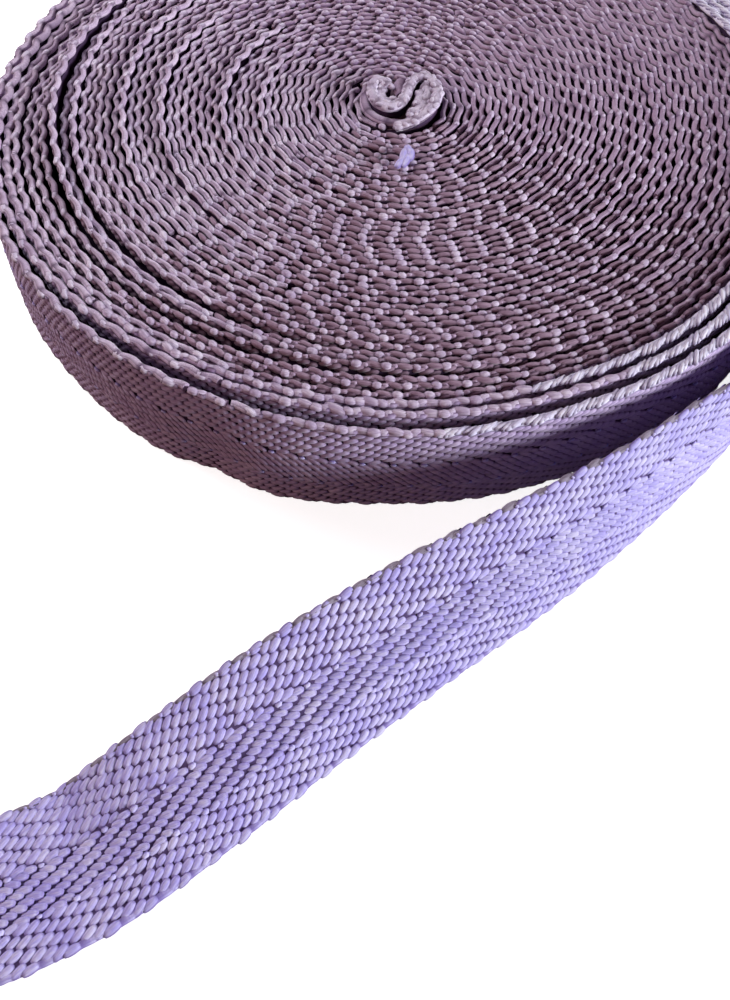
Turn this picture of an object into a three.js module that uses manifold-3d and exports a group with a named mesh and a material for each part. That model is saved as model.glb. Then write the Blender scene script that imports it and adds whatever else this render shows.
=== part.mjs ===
import * as THREE from 'three';
import { mergeVertices } from 'three/addons/utils/BufferGeometryUtils.js';
import Module from 'manifold-3d';

// A roll of heavy cotton herringbone webbing. The webbing is wound up flat, turn on turn, and stands
// on one edge. Its outermost turn is led off as a loose end, which twists over and lies down flat.
// Millimetres, +Z up. The origin is the roll's axis on its underside, +X to the right, +Y to the back.
// Directions are in degrees from +X towards +Y. Seen from above, the webbing runs inwards that way.

// Driving dimensions
const WEBBING_WIDTH = 25;
const WEBBING_THICKNESS = 1.6;
const ROLL_RADIUS = 90;
const PLAY = 0.3;
const LAP = WEBBING_THICKNESS + PLAY;
const SOFT_EDGE = 0.4;

// The loose end leaves the roll at this direction, so the rim has a step of one turn there.
const LEAVING_AT = 60;
const LEAVING_OUT = 1.4;
const STEP_SPREAD = 0.1;
const ROUND_STEPS = 72;

// The rim, once round from where the loose end leaves it. at: direction. out: how far the rim's top
// stands beyond ROLL_RADIUS. flare: how far its foot stands beyond its top, where the turn leans.
const RIM = [
  { at: LEAVING_AT, out: LEAVING_OUT, flare: 0 },
  { at: 110, out: 0.8, flare: 0.2 },
  { at: 155, out: 0.4, flare: 1.2 },
  { at: 190, out: 0.4, flare: 3.0 },
  { at: 206, out: 0.7, flare: 0.9 },
  { at: 222, out: 0.6, flare: 0.2 },
  { at: 240, out: 0.8, flare: 0.2 },
  { at: 246.5, out: 0.8, flare: -1.3 },
  { at: 254, out: 0.8, flare: 0.2 },
  { at: 272, out: -0.5, flare: -0.3 },
  { at: 294, out: -0.9, flare: -0.1 },
  { at: 310, out: 0.9, flare: 0 },
  { at: 345, out: 0.4, flare: 0 },
  { at: 400, out: -0.3, flare: 0 },
  { at: LEAVING_AT + 360, out: LEAVING_OUT - LAP, flare: 0 },
];

// From one turn's middle to the next, and the radius of the outermost turn's middle on the left.
const TURN_PITCH = 1.63;
const OUTERMOST_MIDDLE = 89.6;

// Turns that stand proud of the flat top, or lie below it, most of all in one direction.
// outer, inner: the turns' numbers, counted from the outermost. at: that direction.
// reach: how far to each side of it they go. rise: height.
const UNEVEN_TURNS = [
  { outer: 31, inner: 31, at: 172, reach: 62, rise: 0.9 },
  { outer: 23, inner: 23, at: 176, reach: 64, rise: 1.0 },
  { outer: 18, inner: 18, at: 178, reach: 60, rise: 1.0 },
  { outer: 10, inner: 10, at: 176, reach: 66, rise: 2.0 },
  { outer: 6, inner: 8, at: 178, reach: 58, rise: -1.0 },
];
// The outermost turns, from this radius out to the rim, stand proud on the right.
const OUTER_TURNS = { from: 83.0, at: 345, reach: 78, rise: 3.0 };
// How far a step in the top slopes over.
const STEP_SLOPE = 0.2;

// Crescent gaps where a turn has sprung away from the next. start, end: directions.
// radius: at its start and end. width: at its middle. deep: below the flat top.
const SPRUNG_GAPS = [
  { start: 200, end: 278, radiusAtStart: 88.4, radiusAtEnd: 87.0, width: 2.6, deep: 16 },
  { start: 244, end: 300, radiusAtStart: 70.6, radiusAtEnd: 70.6, width: 1.4, deep: 5 },
];
const GAP_STEPS = 20;

// The middle: a shallow well, in which the folded start of the webbing stands in the shape of an S.
// foot: how far the fold goes in under the well's floor. proud: how far it stands above the turns.
const WELL = { radius: 9.6, deep: 6 };
const START_FOLD = { thickness: 2.2, foot: 1, proud: 3.4, softEdge: 0.4, steps: 56 };
const START_FOLD_PATH = [
  { x: -2.4, y: 2.0 },
  { x: -3.6, y: 4.3 },
  { x: -5.6, y: 4.0 },
  { x: -6.3, y: 1.0 },
  { x: -5.2, y: -2.6 },
  { x: -2.8, y: -4.3 },
  { x: -0.4, y: -3.6 },
  { x: 1.2, y: -0.8 },
  { x: 2.0, y: 2.6 },
  { x: 3.4, y: 5.6 },
  { x: 5.6, y: 6.0 },
  { x: 7.2, y: 3.8 },
  { x: 7.5, y: 0.2 },
  { x: 6.1, y: -3.8 },
  { x: 3.4, y: -6.5 },
  { x: 0.0, y: -7.7 },
  { x: -3.9, y: -7.5 },
  { x: -7.0, y: -5.2 },
];

// The loose end. Beside the roll it stands upright, and eases off it by a power of its way round.
// to: the direction in which it is out from the roll by that much.
const EASING_OFF = { to: -46, out: 9.2, power: 1.6, rows: 10 };
// Its lower edge on the surface from there on. lean: degrees that it leans over towards the roll.
const LOOSE_END = [
  { x: 69.4, y: -71.8, lean: 4 },
  { x: 57.4, y: -84.8, lean: 13 },
  { x: 46.1, y: -95.9, lean: 20 },
  { x: 35.4, y: -105.5, lean: 28 },
  { x: 25.3, y: -113.8, lean: 35 },
  { x: 6.7, y: -128.2, lean: 48 },
  { x: -10.2, y: -141.8, lean: 61 },
  { x: -25.8, y: -154.9, lean: 76 },
  { x: -40.4, y: -166.0, lean: 89 },
  { x: -54.5, y: -173.6, lean: 90 },
  { x: -69.6, y: -179.0, lean: 90 },
];
const STEPS_PER_ROW = 4;

const LILAC = '#a893cc';

const radians = THREE.MathUtils.degToRad;

// Reads a column of a table at a direction, eased from each row to the next.
function readTable(rows, column, at) {
  const next = Math.max(1, rows.findIndex((row) => row.at >= at));
  const [from, to] = [rows[next - 1], rows[next]];
  const share = THREE.MathUtils.smoothstep(at, from.at, to.at);
  return THREE.MathUtils.lerp(from[column], to[column], share);
}

function polar(radius, at, height) {
  return new THREE.Vector3(radius * Math.cos(radians(at)), radius * Math.sin(radians(at)), height);
}

// A closed geometry from its corners and its triangles, which index them.
function closedGeometry(corners, triangles) {
  const geometry = new THREE.BufferGeometry().setFromPoints(corners);
  geometry.setIndex(triangles.flat());
  geometry.computeVertexNormals();
  return geometry;
}

// How high uneven turns stand at a direction: all of it at their middle, none at their reach.
function riseAt(turns, at) {
  const away = Math.abs(THREE.MathUtils.euclideanModulo(at - turns.at + 180, 360) - 180);
  return away < turns.reach ? turns.rise * Math.cos((away / turns.reach) * (Math.PI / 2)) ** 2 : 0;
}

function rimRadius(at) {
  return ROLL_RADIUS + readTable(RIM, 'out', at);
}

function turnMiddle(number) {
  return OUTERMOST_MIDDLE - TURN_PITCH * (number - 1);
}

// The rings of the wound form, from its foot up the rim and in over the top to the well's floor.
function woundRings() {
  const top = WEBBING_WIDTH;
  const outer = (at) => top + riseAt(OUTER_TURNS, at);
  const rings = [
    { radius: (at) => rimRadius(at) + readTable(RIM, 'flare', at), height: () => 0 },
    { radius: rimRadius, height: (at) => outer(at) - SOFT_EDGE },
    { radius: (at) => rimRadius(at) - SOFT_EDGE, height: outer },
    { radius: () => OUTER_TURNS.from + STEP_SLOPE, height: outer },
    { radius: () => OUTER_TURNS.from, height: () => top },
  ];
  for (const turns of UNEVEN_TURNS.toReversed()) {
    const uneven = (at) => top + riseAt(turns, at);
    const outside = turnMiddle(turns.outer) + WEBBING_THICKNESS / 2;
    const inside = turnMiddle(turns.inner) - WEBBING_THICKNESS / 2;
    rings.push(
      { radius: () => outside, height: () => top },
      { radius: () => outside - STEP_SLOPE, height: uneven },
      { radius: () => inside + STEP_SLOPE, height: uneven },
      { radius: () => inside, height: () => top },
    );
  }
  rings.push(
    { radius: () => WELL.radius, height: () => top },
    { radius: () => WELL.radius - STEP_SLOPE, height: () => top - WELL.deep },
  );
  return rings;
}

// The wound form: rings joined by a skin, closed at the axis above and below.
function woundForm() {
  const directions = Array.from({ length: ROUND_STEPS }, (_, k) => LEAVING_AT + (360 * k) / ROUND_STEPS);
  directions.push(LEAVING_AT + 360 - STEP_SPREAD);
  const rings = woundRings();
  const corners = rings.flatMap((ring) => directions.map((at) => polar(ring.radius(at), at, ring.height(at))));
  const count = directions.length;
  const footAxis = corners.push(polar(0, 0, 0)) - 1;
  const floorAxis = corners.push(polar(0, 0, WEBBING_WIDTH - WELL.deep)) - 1;
  const lastRing = count * (rings.length - 1);
  const triangles = [];
  for (let k = 0; k < count; k += 1) {
    const next = (k + 1) % count;
    triangles.push([footAxis, next, k], [floorAxis, lastRing + k, lastRing + next]);
    for (let start = 0; start < lastRing; start += count) {
      const [a, b, c, d] = [start + k, start + next, start + count + next, start + count + k];
      triangles.push([a, b, c], [a, c, d]);
    }
  }
  return closedGeometry(corners, triangles);
}

// A crescent that is cut out of the roll between two turns.
function sprungGap(gap) {
  const side = (sign) =>
    Array.from({ length: GAP_STEPS + 1 }, (_, k) => {
      const share = k / GAP_STEPS;
      const middle = THREE.MathUtils.lerp(gap.radiusAtStart, gap.radiusAtEnd, share);
      const half = (gap.width / 2) * Math.sin(Math.PI * share);
      return polar(middle + sign * half, THREE.MathUtils.lerp(gap.start, gap.end, share), 0);
    });
  const outline = [...side(1), ...side(-1).slice(1, -1).reverse()];
  const depth = gap.deep + OUTER_TURNS.rise + 1;
  const geometry = new THREE.ExtrudeGeometry(new THREE.Shape(outline), { depth, bevelEnabled: false });
  return geometry.translate(0, 0, WEBBING_WIDTH - gap.deep);
}

// The folded start: a strip that follows its path in plan and stands on edge in the well.
function startFold() {
  const path = new THREE.CatmullRomCurve3(START_FOLD_PATH.map(({ x, y }) => new THREE.Vector3(x, y, 0)));
  const half = START_FOLD.thickness / 2 - START_FOLD.softEdge;
  const side = (sign) =>
    Array.from({ length: START_FOLD.steps + 1 }, (_, k) => {
      const tangent = path.getTangentAt(k / START_FOLD.steps);
      const across = new THREE.Vector3(-tangent.y, tangent.x, 0);
      return path.getPointAt(k / START_FOLD.steps).addScaledVector(across, sign * half);
    });
  const shape = new THREE.Shape([...side(-1), ...side(1).reverse()]);
  const foot = WEBBING_WIDTH - WELL.deep - START_FOLD.foot;
  const geometry = new THREE.ExtrudeGeometry(shape, {
    depth: WEBBING_WIDTH + START_FOLD.proud - START_FOLD.softEdge - foot,
    bevelSize: START_FOLD.softEdge,
    bevelThickness: START_FOLD.softEdge,
    bevelSegments: 1,
  });
  return geometry.translate(0, 0, foot);
}

// The rows of the loose end's path, from the roll to the free end: x, y, and lean in place of z.
function looseEndRows() {
  const start = LEAVING_AT - STEP_SPREAD - THREE.MathUtils.radToDeg(PLAY / ROLL_RADIUS);
  const centre = ROLL_RADIUS + LEAVING_OUT - WEBBING_THICKNESS / 2;
  const easing = Array.from({ length: EASING_OFF.rows }, (_, k) => {
    const share = k / EASING_OFF.rows;
    const at = THREE.MathUtils.lerp(start, EASING_OFF.to, share);
    return polar(centre + EASING_OFF.out * share ** EASING_OFF.power, at, 0);
  });
  return [...easing, ...LOOSE_END.map(({ x, y, lean }) => new THREE.Vector3(x, y, lean))];
}

// The loose end: the webbing's section swept along its path, leaning as far as each row says.
function looseEnd() {
  const rows = looseEndRows();
  const path = new THREE.CatmullRomCurve3(rows, false, 'catmullrom', 0.5);
  const steps = (rows.length - 1) * STEPS_PER_ROW;
  const corners = [];
  for (let k = 0; k <= steps; k += 1) {
    const place = path.getPoint(k / steps);
    const heading = path.getTangent(k / steps).setZ(0).normalize();
    const lean = radians(THREE.MathUtils.clamp(place.z, 0, 90));
    const towardsRoll = new THREE.Vector3(heading.y, -heading.x, 0);
    const across = new THREE.Vector3(0, 0, Math.cos(lean)).addScaledVector(towardsRoll, Math.sin(lean));
    const through = new THREE.Vector3().crossVectors(heading, across);
    const half = WEBBING_THICKNESS / 2;
    const lower = new THREE.Vector3(place.x, place.y, half * Math.abs(through.z));
    const upper = lower.clone().addScaledVector(across, WEBBING_WIDTH);
    corners.push(
      lower.clone().addScaledVector(through, half),
      lower.clone().addScaledVector(through, -half),
      upper.clone().addScaledVector(through, -half),
      upper.clone().addScaledVector(through, half),
    );
  }
  const last = steps * 4;
  const triangles = [[0, 2, 1], [0, 3, 2], [last, last + 1, last + 2], [last, last + 2, last + 3]];
  for (let k = 0; k < last; k += 4) {
    for (let edge = 0; edge < 4; edge += 1) {
      const [a, b] = [k + edge, k + ((edge + 1) % 4)];
      triangles.push([a, b + 4, a + 4], [a, b, b + 4]);
    }
  }
  return closedGeometry(corners, triangles);
}

const wasm = await Module();
wasm.setup();

// A solid for joining and cutting, from a closed geometry.
function toSolid(geometry) {
  const bare = geometry.clone();
  bare.deleteAttribute('normal');
  bare.deleteAttribute('uv');
  const merged = mergeVertices(bare, 1e-4);
  const vertProperties = new Float32Array(merged.attributes.position.array);
  const triVerts = new Uint32Array(merged.index.array);
  return new wasm.Manifold(new wasm.Mesh({ numProp: 3, vertProperties, triVerts }));
}

function toGeometry(solid) {
  const mesh = solid.getMesh();
  const geometry = new THREE.BufferGeometry();
  geometry.setAttribute('position', new THREE.BufferAttribute(mesh.vertProperties, 3));
  geometry.setIndex(new THREE.BufferAttribute(mesh.triVerts, 1));
  geometry.computeVertexNormals();
  return geometry;
}

function webbingMesh(name, geometry) {
  const material = new THREE.MeshStandardMaterial({ color: LILAC, roughness: 0.9, metalness: 0 });
  const mesh = new THREE.Mesh(geometry, material);
  mesh.name = name;
  return mesh;
}

let wound = toSolid(woundForm()).add(toSolid(startFold()));
for (const gap of SPRUNG_GAPS) {
  wound = wound.subtract(toSolid(sprungGap(gap)));
}

const rollOfWebbing = new THREE.Group();
rollOfWebbing.add(webbingMesh('roll', toGeometry(wound)));
rollOfWebbing.add(webbingMesh('loose_end', looseEnd()));

export default rollOfWebbing;
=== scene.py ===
"""A roll of lilac herringbone webbing, wound edge up, with a loose end that twists over and lies flat.

The solids give the wound form. Here the webbing is woven: each warp yarn's float over the weft is a
leaf of its own, set out in the three bands of the herringbone, and the selvedge of every turn is a
run of yarn that weaves from one face of the webbing to the other.

Lengths are worked out in millimetres and become Blender's metres where a mesh is made.
Directions are in degrees from +X towards +Y. Seen from above, the webbing runs inwards that way.
"""

from __future__ import annotations

import logging
import math
from dataclasses import dataclass, field
from enum import Enum

import bmesh
import bpy
import numpy as np
from mathutils import Matrix, Vector

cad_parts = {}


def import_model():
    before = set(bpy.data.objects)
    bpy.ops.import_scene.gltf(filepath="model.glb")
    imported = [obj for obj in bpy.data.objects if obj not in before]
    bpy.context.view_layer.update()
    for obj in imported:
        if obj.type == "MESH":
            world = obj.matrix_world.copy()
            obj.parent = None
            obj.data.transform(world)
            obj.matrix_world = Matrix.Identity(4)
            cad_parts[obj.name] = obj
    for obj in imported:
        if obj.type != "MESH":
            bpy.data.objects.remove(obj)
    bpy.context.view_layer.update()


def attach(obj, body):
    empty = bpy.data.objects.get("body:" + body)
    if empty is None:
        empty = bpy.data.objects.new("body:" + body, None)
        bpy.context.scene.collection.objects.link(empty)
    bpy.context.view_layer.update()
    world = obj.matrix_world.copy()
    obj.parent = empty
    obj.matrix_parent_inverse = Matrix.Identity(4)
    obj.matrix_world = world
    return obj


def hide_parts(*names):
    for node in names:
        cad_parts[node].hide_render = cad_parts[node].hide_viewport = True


LOG = logging.getLogger("webbing")
MM = 0.001
BODY = "root"
WHOLE_TURN = (0.0, 360.0)
# A Mix node's two colour inputs and its colour output, by number.
MIX_FROM, MIX_TO, MIXED = 6, 7, 2


class Slant(Enum):
    """Which way a band's ribs run towards the roll, seen from outside with the top edge up."""

    FALLING = 1
    RISING = -1


class Face(Enum):
    """The two faces of the webbing, by the side of its middle on which they lie."""

    OUTER = 1
    INNER = -1


class Edge(Enum):
    """The two selvedges."""

    TOP = 1
    FOOT = -1


class Look(Enum):
    """Which look a yarn takes: its own lilac, or a copy of it with light or shade painted in."""

    FACE = "face"
    # Greyer and warmer than the face: the warm shade over the roll's top, painted in.
    EDGE = "edge"
    SHADED = "shaded"
    # Dark grey: painted shade along the loose end's top edge.
    DEEP = "deep"
    # Lighter: painted light on the proud crests and on the folded start.
    PALE = "pale"
    # Dark maroon: painted deep shade.
    MAROON = "maroon"
    # Greyer mauve: painted warm shade on the roll's outer wall.
    WALL = "wall"
    # Near white: painted light on the rim's leaves where the low lamp falls.
    WHITE = "white"
    # Dark flanks and a pale top: painted shade and painted highlights on the wavy cords.
    WAVE = "wave"


@dataclass(frozen=True)
class Band:
    """One band of the herringbone.

    top is its upper side's height above the webbing's foot and spacing is from yarn to yarn. lean
    is how far a float turns up from the webbing's length and lift how far its end towards the roll
    stands out, in degrees. plump and length are a float's width and length.
    """

    top: float
    yarns: int
    spacing: float
    slant: Slant
    lean: float
    lift: float
    plump: float
    length: float


@dataclass(frozen=True)
class Weave:
    """The sizes of the webbing and its weave.

    body is how thick the cloth is under its floats, pick the distance from weft to weft, picks how
    many make a repeat, and edge_lean the share of its band's lean that a band's edge yarn has.
    """

    width: float = 25.0
    thickness: float = 1.6
    body: float = 0.76
    pick: float = 1.41
    picks: int = 4
    edge_lean: float = 0.45
    bands: tuple[Band, ...] = (
        Band(24.5, 17, 0.573, Slant.FALLING, lean=25.0, lift=4.0, plump=1.66, length=3.1),
        Band(14.75, 15, 0.492, Slant.RISING, lean=-16.0, lift=15.0, plump=1.5, length=3.4),
        Band(7.37, 14, 0.515, Slant.FALLING, lean=22.0, lift=4.0, plump=1.54, length=3.1),
    )

    @property
    def repeat(self) -> float:
        """One repeat of the weave along the webbing."""
        return self.pick * self.picks


WEAVE = Weave()


@dataclass(frozen=True)
class Knot:
    """The stitch where two bands meet: its height, and how far it lies on from where their ribs turn."""

    height: float
    onward: float
    out: float = 0.62
    size: tuple[float, float, float] = (1.5, 1.05, 0.8)
    varies: float = 0.12
    tone: float = 0.9


BAND_KNOTS = (Knot(14.4, 2.29), Knot(7.2, -1.36))


def unit(rows: np.ndarray) -> np.ndarray:
    """Each row scaled to a length of 1."""
    return rows / np.linalg.norm(rows, axis=1, keepdims=True)


def read_table(at: np.ndarray, stations: list[float], values: list[float]) -> np.ndarray:
    """Reads a table at many places, eased from each station to the next.

    Args:
        at: the places.
        stations: where the rows stand, rising.
        values: what each row holds.

    Returns:
        The value at each place.
    """
    stops, held = np.array(stations), np.array(values)
    row = np.clip(np.searchsorted(stops, at, side="right") - 1, 0, len(stops) - 2)
    share = np.clip((at - stops[row]) / (stops[row + 1] - stops[row]), 0.0, 1.0)
    return held[row] + (held[row + 1] - held[row]) * share * share * (3.0 - 2.0 * share)


def hump(at: np.ndarray, middle: float, reach: float) -> np.ndarray:
    """1 at a direction, eased down to 0 at its reach to either side."""
    away = np.abs((at - middle + 180.0) % 360.0 - 180.0)
    return np.where(away < reach, np.cos(np.minimum(away / reach, 1.0) * math.pi / 2.0) ** 2, 0.0)


def smooth_curve(points: np.ndarray, steps: int) -> np.ndarray:
    """A smooth curve through points, with so many steps from each to the next."""
    first, last = 2.0 * points[0] - points[1], 2.0 * points[-1] - points[-2]
    padded = np.vstack([first, points, last])
    share = np.linspace(0.0, 1.0, steps, endpoint=False)[:, None]
    runs = []
    for k in range(1, len(padded) - 2):
        before, start, end, after = padded[k - 1 : k + 3]
        lead, trail = (end - before) / 2.0, (after - start) / 2.0
        runs.append(
            start
            + lead * share
            + (3.0 * (end - start) - 2.0 * lead - trail) * share**2
            + (2.0 * (start - end) + lead + trail) * share**3
        )
    return np.vstack([*runs, points[-1:]])


def drifting(count: int, every: int, size: float, seed: int) -> np.ndarray:
    """A slow random drift.

    Args:
        count: how many values.
        every: how many values from one turning point to the next.
        size: the drift's usual size.
        seed: the seed.

    Returns:
        The values.
    """
    knots = np.random.default_rng(seed).normal(0.0, size, count // every + 3)
    return read_table(np.arange(count) / every, list(range(len(knots))), list(knots))


@dataclass
class Course:
    """The run of a stretch of webbing.

    s is the distance from the webbing's free end, foot the lower edge in the middle of its
    thickness, up the direction across the webbing, and width its width, at each of many places.
    """

    s: np.ndarray
    foot: np.ndarray
    up: np.ndarray
    width: np.ndarray
    along: np.ndarray = field(init=False)

    def __post_init__(self) -> None:
        """Works out the direction of the run."""
        middle = self.foot + self.up * (WEAVE.width / 2.0)
        self.along = unit(np.gradient(middle, axis=0))

    def at(self, s: np.ndarray) -> tuple[np.ndarray, np.ndarray, np.ndarray, np.ndarray, np.ndarray]:
        """The run at many places.

        Args:
            s: distances from the free end.

        Returns:
            The foot, the directions along, up and out of the outer face, and the width.
        """
        foot, up, along = (
            np.stack([np.interp(s, self.s, rows[:, k]) for k in range(3)], axis=1)
            for rows in (self.foot, self.up, self.along)
        )
        up = unit(up)
        out = unit(np.cross(along, up))
        return foot, np.cross(up, out), up, out, np.interp(s, self.s, self.width)

    def repeats(self, offset: float = 0.0) -> np.ndarray:
        """The places of the weave's repeats on this stretch, moved along by an offset."""
        first = math.ceil((self.s[0] - offset) / WEAVE.repeat)
        last = math.floor((self.s[-1] - offset) / WEAVE.repeat)
        return np.arange(first, last + 1) * WEAVE.repeat + offset

    def part(self, start: float, end: float) -> Course:
        """The stretch between two distances from the free end."""
        kept = (self.s >= start) & (self.s <= end)
        return Course(self.s[kept], self.foot[kept], self.up[kept], self.width[kept])


@dataclass(frozen=True)
class RimRow:
    """The rim at one direction: how far its top stands out, and its foot beyond its top."""

    at: float
    out: float
    flare: float


@dataclass(frozen=True)
class TurnsRow:
    """The radius of the middle of each of the outer turns at one direction, from the rim inwards."""

    at: float
    radii: tuple[float, ...]


@dataclass(frozen=True)
class RiseRow:
    """Turns that stand proud or lie low, most of all at a direction."""

    outer: int
    inner: int
    at: float
    reach: float
    rise: float


@dataclass
class Winding:
    """The wound turns, from where the loose end leaves them in to the folded start.

    The outer turns are as uneven as their table, and the rest run in evenly. core_radius is the
    innermost turn's, settling how many turns the table's unevenness takes to fade. fold is the top
    edge of the folded start, and inner_folds, inner_lump and inner_arc are the doubled cloth inside
    it, which stands inner_sunk lower. wander is how far a turn strays sideways and unevenness how
    far it stands proud, with so many places from one turning point to the next.
    """

    radius: float = 90.0
    leaving: float = 60.0
    play: float = 0.3
    pitch: float = 1.65
    turns: float = 46.435
    core_radius: float = 9.2
    settling: float = 16.0
    samples_per_turn: int = 160
    rim: tuple[RimRow, ...] = (
        RimRow(60.0, 1.4, 0.0),
        RimRow(110.0, 0.6, 0.4),
        RimRow(155.0, -0.4, 2.0),
        RimRow(180.0, 0.2, 3.2),
        RimRow(190.0, 0.6, 2.8),
        RimRow(206.0, 0.7, 0.9),
        RimRow(222.0, 0.1, 0.7),
        RimRow(240.0, -0.4, 1.4),
        RimRow(246.5, -0.5, 0.0),
        RimRow(254.0, -0.4, 1.4),
        RimRow(272.0, -0.3, -0.5),
        RimRow(294.0, -0.4, -0.6),
        RimRow(310.0, 0.9, 0.0),
        RimRow(345.0, 0.4, 0.0),
        RimRow(400.0, -0.6, 0.0),
        RimRow(420.0, -0.8, 0.0),
    )
    table: tuple[TurnsRow, ...] = (
        TurnsRow(160.0, (86.4, 84.4, 82.4, 80.9, 79.8, 78.6, 76.6, 74.6, 72.9, 71.3, 69.8, 68.1)),
        TurnsRow(180.0, (87.5, 85.6, 83.9, 82.0, 80.4, 78.8, 76.6, 74.2, 72.0, 70.1, 68.3, 66.4)),
        TurnsRow(198.0, (88.2, 86.0, 84.0, 81.8, 79.7, 77.6, 75.0, 73.3, 71.1, 69.3, 67.7, 65.8)),
        TurnsRow(231.0, (85.5, 83.3, 81.7, 79.7, 78.3, 75.7, 73.7, 72.1, 69.3, 67.7, 66.2, 64.2)),
        TurnsRow(250.0, (84.8, 82.7, 80.8, 78.8, 77.6, 74.8, 72.7, 71.3, 69.0, 67.3, 65.8, 63.9)),
        TurnsRow(270.0, (84.7, 82.4, 80.3, 78.3, 76.9, 74.7, 72.5, 71.0, 69.3, 67.5, 66.0, 64.2)),
        TurnsRow(290.0, (84.9, 82.2, 80.2, 78.4, 76.9, 74.8, 72.8, 71.3, 69.8, 68.0, 66.3, 64.3)),
        TurnsRow(300.0, (85.8, 82.9, 80.5, 78.8, 77.1, 75.1, 73.1, 71.4, 69.8, 68.1, 66.4, 64.6)),
        TurnsRow(310.0, (86.9, 83.8, 81.4, 79.3, 77.6, 75.9, 74.2, 72.5, 70.8, 69.0, 67.2, 65.3)),
    )
    rises: tuple[RiseRow, ...] = (
        RiseRow(1, 3, 345.0, 78.0, 3.0),
        RiseRow(4, 4, 345.0, 70.0, 0.8),
        RiseRow(3, 3, 172.0, 36.0, -0.8),
        RiseRow(5, 6, 174.0, 50.0, -1.0),
        RiseRow(8, 8, 176.0, 66.0, 2.0),
        RiseRow(9, 9, 216.0, 100.0, -0.4),
        RiseRow(10, 10, 180.0, 50.0, 0.7),
        RiseRow(16, 16, 176.0, 60.0, 1.0),
        RiseRow(21, 21, 176.0, 64.0, 1.0),
        RiseRow(29, 29, 172.0, 62.0, 0.9),
        RiseRow(34, 34, 176.0, 70.0, 0.6),
        RiseRow(7, 7, 268.0, 34.0, 0.8),
        RiseRow(11, 13, 285.0, 30.0, 0.4),
    )
    fold: tuple[tuple[float, float], ...] = (
        (-3.9, -7.5),
        (0.0, -8.0),
        (3.8, -7.0),
        (6.8, -4.4),
        (8.2, -0.4),
        (7.8, 3.6),
        (5.9, 6.1),
        (3.4, 5.6),
        (2.0, 2.6),
        (1.2, -0.8),
        (-0.4, -3.6),
        (-2.8, -4.3),
        (-5.2, -2.6),
        (-6.3, 1.0),
        (-5.6, 4.0),
        (-3.6, 4.3),
        (-2.4, 2.0),
    )
    inner_folds: tuple[tuple[tuple[float, float], ...], ...] = (
        ((1.8, -6.0), (3.9, -5.0), (5.4, -2.8), (6.2, -0.2), (6.0, 2.4), (5.0, 3.8)),
        ((3.4, -4.0), (4.3, -2.2), (4.6, -0.2), (4.4, 1.6)),
        ((-1.4, -2.3), (-3.2, -2.2), (-4.4, -0.4), (-4.4, 1.4), (-3.7, 2.4)),
    )
    inner_lump: tuple[tuple[float, float], ...] = ((0.4, 0.4), (-0.2, 2.4), (-0.1, 4.4), (0.6, 5.8))
    inner_arc: tuple[tuple[float, float], ...] = (
        (-7.6, 2.6),
        (-7.8, 0.0),
        (-7.2, -2.6),
        (-5.6, -4.9),
        (-3.4, -6.3),
        (-0.8, -6.9),
        (1.6, -6.9),
    )
    fold_proud: float = 3.2
    fold_steps: int = 7
    fold_climb: float = 30.0
    inner_sunk: float = 0.5
    unevenness: float = 0.16
    unevenness_every: int = 21
    wander: float = 0.05
    wander_every: int = 17
    smoothing: int = 11

    def course(self, start: float) -> Course:
        """The run of the wound turns.

        Args:
            start: the distance from the free end at which the winding starts.

        Returns:
            The run, inwards.
        """
        wound = np.linspace(0.0, self.turns, int(self.turns * self.samples_per_turn) + 1)
        at = self.leaving + 360.0 * (wound % 1.0)
        turn = np.floor(wound) + 1.0
        radius = self._radius(wound)
        stations = [row.at for row in self.rim]
        flare = read_table(at, stations, [row.flare for row in self.rim]) * (turn == 1.0)
        rise = np.zeros_like(wound)
        for row in self.rises:
            held = (turn >= row.outer) & (turn <= row.inner)
            rise += held * row.rise * hump(at, row.at, row.reach)
        calm = np.clip(wound, 0.0, 1.0)
        rise += calm * drifting(len(wound), self.unevenness_every, self.unevenness, seed=11)
        radius += calm * drifting(len(wound), self.wander_every, self.wander, seed=12)
        ray = np.stack([np.cos(np.radians(at)), np.sin(np.radians(at)), np.zeros_like(at)], axis=1)
        foot = ray * (radius + flare)[:, None]
        foot[:, 2] = np.maximum(rise, 0.0)
        top = ray * radius[:, None]
        top[:, 2] = WEAVE.width + rise
        folded = self._folded(top[-3:])
        foot = np.vstack([foot, folded - (0.0, 0.0, WEAVE.width)])
        top = np.vstack([top, folded])
        width = np.linalg.norm(top - foot, axis=1)
        steps = np.linalg.norm(np.diff(top[:, :2], axis=0), axis=1)
        s = start + np.concatenate([[0.0], np.cumsum(steps)])
        return Course(s, foot, unit(top - foot), width)

    def inner_fold(self, rows: tuple[tuple[float, float], ...]) -> Course:
        """The run of a stretch of the doubled cloth, inside the folded start."""
        top = smooth_curve(np.array([(x, y, 0.0) for x, y in rows]), self.fold_steps)
        top[:, 2] = WEAVE.width + self.fold_proud - self.inner_sunk
        foot = top - (0.0, 0.0, WEAVE.width)
        steps = np.linalg.norm(np.diff(top, axis=0), axis=1)
        s = np.concatenate([[0.0], np.cumsum(steps)])
        return Course(s, foot, unit(top - foot), np.full(len(s), WEAVE.width))

    def _folded(self, last: np.ndarray) -> np.ndarray:
        """The top edge of the folded start, onwards from the innermost turn's last places."""
        rows = np.array([(x, y, 0.0) for x, y in self.fold])
        curve = smooth_curve(np.vstack([last[-1] * (1.0, 1.0, 0.0), rows]), self.fold_steps)[1:]
        climb = np.clip(np.arange(len(curve)) / self.fold_climb, 0.0, 1.0)
        eased = climb * climb * (3.0 - 2.0 * climb)
        curve[:, 2] = last[-1, 2] + (WEAVE.width + self.fold_proud - last[-1, 2]) * eased
        return curve

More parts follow.
